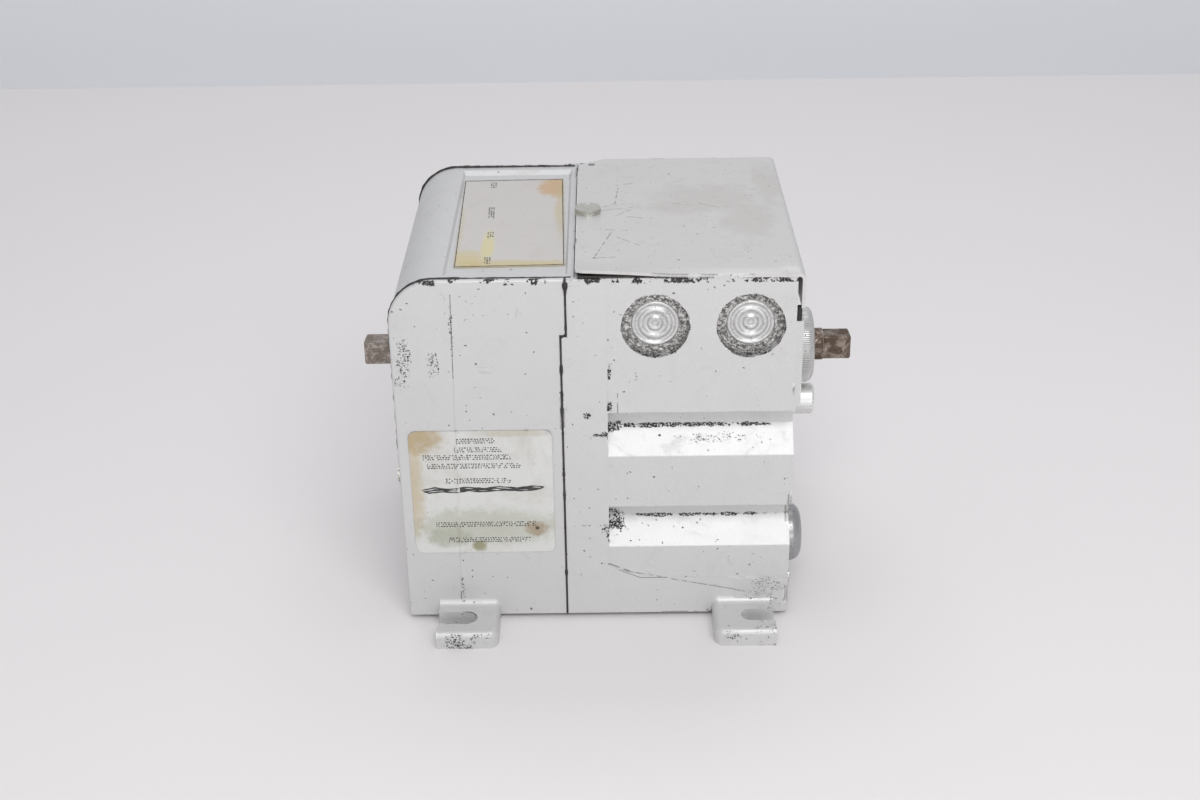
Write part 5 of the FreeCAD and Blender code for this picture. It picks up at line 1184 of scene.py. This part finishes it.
@dataclass
class CoverSheet:
    """The bent sheet over the wiring bay, lifted at one corner and dented at another."""

    shop: Workshop
    finishes: "Finishes"
    thick: float = 1.2 * MM
    bend: float = 2.5 * MM
    cut: tuple[float, float] = (10.7 * MM, 6.6 * MM)
    lifted: float = 1.75 * MM
    lift_reach: tuple[float, float] = (34 * MM, 11 * MM)
    margin: float = 5.5 * MM
    margin_drop: float = 0.62 * MM
    dent_middle: tuple[float, float] = (64.5 * MM, 2.2 * MM)
    dent_radius: float = 3.0 * MM
    dent_depth: float = 0.5 * MM
    wave: float = 0.10 * MM
    holes: tuple[Place, ...] = ((-6.85 * MM, 0.0, 3.1 * MM), (-5.65 * MM, 53.9 * MM, 1.5 * MM))

    def build(self) -> None:
        """Builds the sheet."""
        low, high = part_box("wiring_cover")
        flat_end = high[0] - self.bend
        shape = bmesh.new()
        stations = self.stations(flat_end, high, low[2])
        ys = [low[1] + (high[1] - low[1]) * step / 110 for step in range(111)]
        rows = []
        for y in ys:
            start = low[0] + self.clipped(y, low, high)
            row = []
            for share, fixed in stations:
                if fixed is None:
                    x = start + (flat_end - start) * share
                    spot, normal = Vector((x, y, high[2])), Vector((0, 0, 1))
                else:
                    spot, normal = Vector((fixed[0], y, fixed[1])), fixed[2]
                lift = self.lift(spot.x, y, low, high)
                row.append((spot + Vector((0, 0, lift)), normal))
            rows.append(row)
        sides = []
        for depth in (0.0, self.thick):
            sides.append([[shape.verts.new(p - n * depth) for p, n in row] for row in rows])
        outer, inner = sides
        last = len(stations) - 1
        for face_rows, flip in ((outer, False), (inner, True)):
            for first, second in zip(face_rows, face_rows[1:]):
                for i in range(last):
                    quad = (first[i], first[i + 1], second[i + 1], second[i])
                    shape.faces.new(tuple(reversed(quad)) if flip else quad)
        loops = ((outer[0], inner[0]), (outer[-1], inner[-1]),
                 ([row[0] for row in outer], [row[0] for row in inner]),
                 ([row[-1] for row in outer], [row[-1] for row in inner]))
        for upper, lower in loops:
            for i in range(len(upper) - 1):
                shape.faces.new((upper[i], upper[i + 1], lower[i + 1], lower[i]))
        bmesh.ops.recalc_face_normals(shape, faces=shape.faces)
        for hole in self.holes:
            self.pierce(shape, high[2], hole)
        self.shop.piece("cover_sheet", shape, self.finishes.wiring_cover, "casing", Slot.COVER,
                        ("wiring_cover",))

    def stations(self, flat_end: float, high: Sequence[float], foot: float) -> list:
        """Where the sheet's section has vertices: shares of the flat part, then the bend."""
        flat = [(step / 72, None) for step in range(73)]
        centre = (flat_end, high[2] - self.bend)
        bent = []
        for step in range(1, 9):
            angle = math.pi / 2 * (1 - step / 8)
            normal = Vector((math.cos(angle), 0, math.sin(angle)))
            x, z = centre[0] + normal.x * self.bend, centre[1] + normal.z * self.bend
            bent.append((0.0, (x, z, normal)))
        drop = [(0.0, (high[0], centre[1] + (foot - centre[1]) * step / 8, Vector((1, 0, 0))))
                for step in range(1, 9)]
        return flat + bent + drop

    def clipped(self, y: float, low: Sequence[float], high: Sequence[float]) -> float:
        """How far the sheet's left edge is cut back, at the clipped and the rounded corner."""
        length, depth = self.cut
        cut = max(0.0, y - (high[1] - depth)) / depth * length
        near = max(0.0, self.bend - (y - low[1]))
        return cut + self.bend - math.sqrt(max(0.0, self.bend ** 2 - near ** 2))

    def lift(self, x: float, y: float, low: Sequence[float], high: Sequence[float]) -> float:
        """How far the sheet stands above or below its flat shape."""
        along, inward = self.lift_reach
        front = max(0.0, 1 - (y - low[1]) / inward)
        corner = front ** 1.4 * max(0.0, 1 - (x - low[0]) / along) * self.lifted
        margin = max(0.0, 1 - (y - low[1]) / self.margin) ** 1.6
        bent = margin * min(1.0, max(0.0, (x - low[0]) / along - 0.55)) * self.margin_drop
        gap = math.hypot(x - self.dent_middle[0], y - low[1] - self.dent_middle[1])
        dent = math.exp(-(gap / self.dent_radius) ** 2) * self.dent_depth
        near_bend = min(1.0, (high[0] - x) / (12 * MM))
        wave = self.wave * ragged(Vector((x, y, 0.2)), 28.0) * near_bend
        return corner - bent - dent + min(wave, self.wave / 2)

    def pierce(self, shape: bmesh.types.BMesh, top: float, hole: Place) -> None:
        """Cuts a round hole.

        Args:
            shape: the sheet.
            top: the height of its outer face.
            hole: the hole's x, y and radius.
        """
        across, along, radius = hole
        spots = [v for v in shape.verts if v.co.z > top - 2 * self.thick
                 and math.hypot(v.co.x - across, v.co.y - along) < radius * 0.82]
        bmesh.ops.delete(shape, geom=spots, context="VERTS")
        borders = [edge for edge in shape.edges if edge.is_boundary]
        for vert in {v for edge in borders for v in edge.verts}:
            away = Vector((vert.co.x - across, vert.co.y - along)).normalized() * radius
            vert.co.x, vert.co.y = across + away.x, along + away.y
        bmesh.ops.bridge_loops(shape, edges=borders)
        bmesh.ops.recalc_face_normals(shape, faces=shape.faces)


@dataclass
class Joints:
    """Beads of old compound, some also painting the shade of a gap, the parting line, and a black block
    that paints the shade in the notch above the end plate, on the castings.
    """

    shop: Workshop
    finishes: "Finishes"

    def build(self) -> None:
        """Builds every bead."""
        self.seam()
        self.cover_line()
        self.parting_line()
        self.notch_shade_block()
        self.corner_gap()

    def bead(self, name: str, path: Sequence[Vector], thick: float, swing: float,
             finish: object, blobs: Sequence[tuple[int, float]] = ()) -> None:
        """One uneven bead on the castings.

        Args:
            name: the piece's name.
            path: its middle line.
            thick: its mean radius.
            swing: how much the radius varies, as a share.
            finish: its finish.
            blobs: points along the path and how much wider the bead is there.
        """
        radii = []
        for i, point in enumerate(path):
            radius = thick * (1 + swing * ragged(point, 900.0) + swing * ragged(point, 220.0))
            for spot, more in blobs:
                radius += thick * more * math.exp(-((i - spot) / 2.2) ** 2)
            radii.append(max(radius, thick * 0.15))
        radii[0] = radii[-1] = thick * 0.1
        self.shop.piece(name, swept(path, radii), finish, "casing", Slot.GASKET, sharp=math.pi)

    def seam(self) -> None:
        """The squeezed-out compound between the two castings."""
        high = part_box("housing_gasket")[1]
        motor_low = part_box("motor_housing")[0]
        lower, upper = motor_low[0] - 0.4 * MM, motor_low[0] + 1.6 * MM
        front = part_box("wiring_cover")[0][1]
        path = []
        jog, top = 121.6 * MM, high[2] - 0.4 * MM
        for step in range(150):
            z = 3 * MM + (top - 3 * MM) * step / 149
            share = min(1.0, max(0.0, (z - jog + 1 * MM) / (2 * MM)))
            x = lower + (upper - lower) * share
            x += 0.12 * MM * ragged(Vector((0, 0, z)), 160.0)
            path.append(Vector((x, front - 0.02 * MM, z)))
        self.bead("seam_bead", path, 0.27 * MM, 0.8, self.finishes.compound,
                  ((147, 3.0), (130, 1.2), (112, 1.3), (101, 1.1), (93, 1.4), (66, 0.9),
                   (55, 1.1), (40, 0.6), (18, 1.2)))

    def cover_line(self) -> None:
        """A dark bead in the joint between the gear cover's edge and the casting's rim: partly dirt,
        partly painted shade of the narrow gap.
        """
        low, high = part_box("gear_cover")
        bend = 16.7 * MM
        centre_x, centre_z = low[0] + bend, high[2] - bend
        for side, name in ((1, "cover_joint_back"), (-1, "cover_joint_front")):
            y = side * (max(abs(low[1]), abs(high[1])) + 0.15 * MM)
            foot = 60 * MM
            path = [Vector((low[0], y, foot + (centre_z - foot) * step / 60)) for step in range(60)]
            for step in range(40):
                angle = math.pi - math.pi / 2 * step / 40
                path.append(Vector((centre_x + bend * math.cos(angle), y,
                                    centre_z + bend * math.sin(angle))))
            path += [Vector((centre_x + (high[0] - 1 * MM - centre_x) * step / 60, y, high[2]))
                     for step in range(61)]
            radii = []
            for i, point in enumerate(path):
                wide = 0.62 if i < 112 else 0.42
                radii.append(max(0.08, wide * (1 + 0.5 * ragged(point, 400.0))) * MM)
            # the bead paints the gap's shade as well as the dirt in it
            raised = [point + Vector((0, 0, 0.2 * MM)) for point in path]
            self.shop.piece(name, swept(raised, radii), self.finishes.compound, "casing",
                            Slot.GASKET, sharp=math.pi)

    def parting_line(self) -> None:
        """The fine ridge left by the mould on the gear casting's front."""
        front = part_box("wiring_cover")[0][1]
        top, low = 139.5 * MM, 9.5 * MM
        path = []
        for step in range(90):
            z = top + (low - top) * step / 89
            x = (-55.4 - 2.1 * (136.2 * MM - z) / (109.1 * MM)) * MM
            path.append(Vector((x, front + 0.03 * MM, z)))
        radii = [(0.16 + 0.07 * ragged(point, 700.0)) * MM for point in path]
        self.shop.piece("parting_ridge", swept(path, radii, 6), self.finishes.gear_casting, "casing",
                        Slot.CAST, sharp=math.pi)

    def notch_shade_block(self) -> None:
        """A black rubber-finished block in the notch above the end plate: painted shade, standing in for
        the dark hole there.
        """
        shape = bmesh.new()
        bmesh.ops.create_cube(shape, size=1.0)
        bmesh.ops.scale(shape, vec=(1.7 * MM, 2.6 * MM, 5.4 * MM), verts=shape.verts)
        bmesh.ops.bevel(shape, geom=list(shape.edges), offset=0.5 * MM, offset_type="OFFSET",
                        affect="EDGES", segments=3, profile=0.5, material=-1)
        bmesh.ops.translate(shape, vec=(68.55 * MM, -59.1 * MM, 129.0 * MM), verts=shape.verts)
        # painted shade: a black block where the notch is only dark
        self.shop.piece("notch_shade_piece", shape, self.finishes.rubber, "casing", Slot.GASKET)

    def corner_gap(self) -> None:
        """Old brown compound under the wiring cover's lifted corner."""
        low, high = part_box("wiring_cover")
        path = [Vector((low[0] + 1.5 * MM + 25 * MM * step / 40, low[1] + 1.6 * MM,
                        high[2] - 1.75 * MM)) for step in range(41)]
        self.bead("corner_compound", path, 0.55 * MM, 0.4, self.finishes.compound)


@dataclass
class Knockouts:
    """The ringed discs in the wiring entries, with pitted metal around them."""

    shop: Workshop
    finishes: "Finishes"
    middles: tuple[float, float] = (17.25 * MM, 51.45 * MM)
    level: float = 124.7 * MM
    outline: tuple[tuple[float, float], ...] = (
        (0.0, 0.50), (0.8, 0.56), (1.1, 0.95), (1.6, 1.12), (2.3, 1.12), (2.7, 0.85), (3.1, 0.56),
        (3.8, 0.55), (4.2, 0.72), (4.5, 1.02), (4.9, 1.18), (5.5, 1.18), (5.9, 1.0), (6.2, 0.74),
        (6.6, 0.62), (7.0, 0.7), (7.3, 1.0), (7.7, 1.22), (8.2, 1.24), (8.5, 1.08), (8.7, 0.8),
        (8.7, 0.0), (0.0, 0.0),
    )

    def build(self) -> None:
        """Builds the four discs and the rough rings around them."""
        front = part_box("knockout_discs")[0][1]
        discs, rings = [], []
        profile = [(radius * MM, height * MM) for radius, height in self.outline]
        for side in (-1, 1):
            facing = Matrix.Rotation(math.pi / 2 * -side, 4, "X")
            for middle in self.middles:
                seat = side * (abs(front) - 1.25 * MM)
                place = Matrix.Translation((middle, seat, self.level)) @ facing
                discs.append(moved(turned(profile), place))
                rings.append(moved(self.rough_ring(), place))
        self.shop.piece("knockout_faces", joined(discs), self.finishes.knockout, "casing",
                        Slot.DIAL, ("knockout_discs",))
        self.shop.piece("knockout_rings", joined(rings), self.finishes.pitted, "casing", Slot.CAST)

    def rough_ring(self) -> bmesh.types.BMesh:
        """A broken ring of pitted metal."""
        shape = bmesh.new()
        radii = [8.8 + 0.285 * step for step in range(13)]
        steps = 144
        rows = []
        for radius in radii:
            row = []
            for step in range(steps):
                angle = 2 * math.pi * step / steps
                spot = Vector((radius * math.cos(angle), radius * math.sin(angle), random.random()))
                height = 0.96 + 0.26 * ragged(spot * MM, 1300.0)
                row.append(shape.verts.new((spot.x * MM, spot.y * MM, height * MM)))
            rows.append(row)
        for first, second in zip(rows, rows[1:]):
            for i in range(steps):
                j = (i + 1) % steps
                shape.faces.new((first[i], first[j], second[j], second[i]))
        grown = bmesh.ops.extrude_face_region(shape, geom=list(shape.faces))
        for item in grown["geom"]:
            if isinstance(item, bmesh.types.BMVert):
                item.co.z = 0.7 * MM
        bmesh.ops.recalc_face_normals(shape, faces=shape.faces)
        return shape


# ---------------------------------------------------------------------- studio


@dataclass
class Studio:
    """The floor, backdrop, lights and camera."""

    eye: Place = (0.0, -0.5947, 0.3746)
    lens: float = 49.6
    pitch: float = math.radians(27.57)
    yaw: float = math.radians(-0.31)
    roll: float = math.radians(-0.83)
    floor_end: float = 0.667
    floor_reach: float = 2.2
    wall_gap: float = 0.5
    sky: float = 0.555

    def build(self) -> None:
        """Sets the whole studio."""
        self.camera()
        self.floor()
        self.lights()

    def camera(self) -> None:
        """Adds the camera."""
        forward = Vector((
            math.sin(self.yaw) * math.cos(self.pitch),
            math.cos(self.yaw) * math.cos(self.pitch),
            -math.sin(self.pitch),
        ))
        right = Vector((math.cos(self.yaw), -math.sin(self.yaw), 0.0))
        up = right.cross(forward)
        across = right * math.cos(self.roll) + up * math.sin(self.roll)
        upward = up * math.cos(self.roll) - right * math.sin(self.roll)
        data = bpy.data.cameras.new("camera")
        data.lens = self.lens
        data.sensor_width = 36.0
        data.clip_start = 0.01
        data.clip_end = 20.0
        item = bpy.data.objects.new("camera", data)
        turn = Matrix((across, upward, -forward)).transposed().to_4x4()
        item.matrix_world = Matrix.Translation(self.eye) @ turn
        bpy.context.scene.collection.objects.link(item)
        bpy.context.scene.camera = item

    def floor(self) -> None:
        """Adds the floor, rounded off at the back, and the backdrop behind it."""
        tabletop = bmesh.new()
        bmesh.ops.create_grid(tabletop, x_segments=1, y_segments=1, size=self.floor_reach)
        for vert in tabletop.verts:
            if vert.co.y > 0:
                vert.co.y = self.floor_end
        back = [e for e in tabletop.edges if all(v.co.y > 0 for v in e.verts)]
        fallen = bmesh.ops.extrude_edge_only(tabletop, edges=back)["geom"]
        for vert in (v for v in fallen if isinstance(v, bmesh.types.BMVert)):
            vert.co.z -= 0.3
        bmesh.ops.bevel(tabletop, geom=back, offset=0.012, offset_type="OFFSET", affect="EDGES",
                        segments=5, profile=0.5, material=-1)
        wall = bmesh.new()
        bmesh.ops.create_grid(wall, x_segments=1, y_segments=1, size=self.floor_reach)
        bmesh.ops.rotate(wall, verts=wall.verts, matrix=Matrix.Rotation(math.pi / 2, 3, "X"))
        bmesh.ops.translate(wall, verts=wall.verts, vec=(0, self.floor_end + self.wall_gap, 1.0))
        self._stage("floor", tabletop, (0.80, 0.775, 0.775, 1.0))
        self._stage("backdrop", wall, (0.95, 0.96, 1.0, 1.0))

    def _stage(self, name: str, shape: bmesh.types.BMesh, tint: Tint) -> None:
        """Shows a bmesh as part of the studio.

        Args:
            name: the object's name.
            shape: the bmesh; it is freed.
            tint: its colour.
        """
        g = Graph(name)
        soft = g.clouds(2.5, 2.0)
        colour = g.mix(soft, tint, tuple(c * 0.97 for c in tint[:3]) + (1.0,))
        mesh = bpy.data.meshes.new(name)
        shape.to_mesh(mesh)
        shape.free()
        mesh.materials.append(g.close(colour, 0.75, 0.0))
        item = bpy.data.objects.new(name, mesh)
        bpy.context.scene.collection.objects.link(item)

    def lights(self) -> None:
        """Adds soft light from everywhere and two large soft lamps."""
        scene = bpy.context.scene
        scene.view_settings.view_transform = "Standard"
        scene.view_settings.look = "None"
        world = bpy.data.worlds.new("studio")
        world.use_nodes = True
        background = world.node_tree.nodes["Background"]
        background.inputs["Color"].default_value = (0.97, 0.98, 1.0, 1.0)
        background.inputs["Strength"].default_value = self.sky
        scene.world = world
        self._lamp("key", (0.15, -0.72, 0.88), (0.0, 0.0, 0.08), (0.7, 0.45), 4.7)
        self._lamp("front", (0.1, -0.95, 0.22), (0.0, 0.0, 0.04), (0.9, 0.3), 1.7)
        self._lamp("back", (0.0, 0.5, 1.1), (0.0, 0.0, 0.08), (0.9, 0.5), 2.6)

    def _lamp(self, name: str, spot: Place, aim: Place, size: tuple[float, float], power: float) -> None:
        """Adds a rectangular lamp.

        Args:
            name: the lamp's name.
            spot: where it is.
            aim: the point it faces.
            size: its width and height.
            power: its power, in watts.
        """
        data = bpy.data.lights.new(name, "AREA")
        data.shape = "RECTANGLE"
        data.size, data.size_y = size
        data.energy = power
        item = bpy.data.objects.new(name, data)
        facing = (Vector(aim) - Vector(spot)).to_track_quat("-Z", "Y").to_matrix().to_4x4()
        item.matrix_world = Matrix.Translation(spot) @ facing
        bpy.context.scene.collection.objects.link(item)


@dataclass
class Insides:
    """The nodes inside the castings, which keep their CAD shapes."""

    shop: Workshop
    finishes: Finishes

    def build(self) -> None:
        """Dresses every inner node."""
        f = self.finishes
        plan = {
            f.turned_steel: ("first_arbor", "second_arbor", "third_arbor", "rotor_shaft",
                             "gear_pillars", "motor_spacers"),
            f.sheet_steel: ("inner_gear_plate", "outer_gear_plate", "motor_bracket",
                            "switch_bracket", "relay_frame", "relay_armature"),
            f.gear_steel: ("output_gear", "third_gear"),
            f.brass: ("first_gear", "second_gear"),
            f.zinc_plate: ("housing_screws", "gear_plate_screws", "motor_bolts",
                           "terminal_screws", "power_end_screws", "gear_cover_screws",
                           "wiring_cover_screw"),
            f.bronze: ("left_bush", "centre_bush", "power_end_bush", "rotor_bearing"),
            f.polished: ("closed_switch_lever", "open_switch_lever", "wiper_arm"),
            f.cap_steel: ("snap_cap",),
            f.stub_zinc: ("power_end_stub",),
            f.rubber: ("housing_gasket", "wiring_cover_gasket", "left_shaft_seal", "rotor_seal"),
            f.phenolic: ("terminal_block", "limit_switches", "limit_cams", "feedback_winding"),
            f.stack: ("stator_core", "rotor_core", "transformer_core"),
            f.coil: ("stator_coils", "transformer_winding"),
            f.upright_coil: ("relay_coils",),
            f.can: ("capacitor",),
            f.dial_zinc: ("serrated_dial",),
            f.rusty_steel: ("main_shaft",),
            f.gear_casting: ("gear_housing",),
            f.motor_casting: ("motor_housing",),
            f.gear_cover: ("gear_cover",),
            f.end_plate: ("power_end_plate",),
        }
        for finish, nodes in plan.items():
            self.shop.dress(finish, *nodes)


def main() -> None:
    """Builds the studio and every sub-assembly."""
    logging.basicConfig(level=logging.INFO, format="%(name)s: %(message)s")
    random.seed(SEED)
    shop = Workshop()
    finishes = Finishes()
    Studio().build()
    Insides(shop, finishes).build()
    ServiceLabel(shop, finishes).build()
    NamePlate(shop, finishes).build()
    CoverSheet(shop, finishes).build()
    Knockouts(shop, finishes).build()
    Joints(shop, finishes).build()


if __name__ == "__main__":
    main()
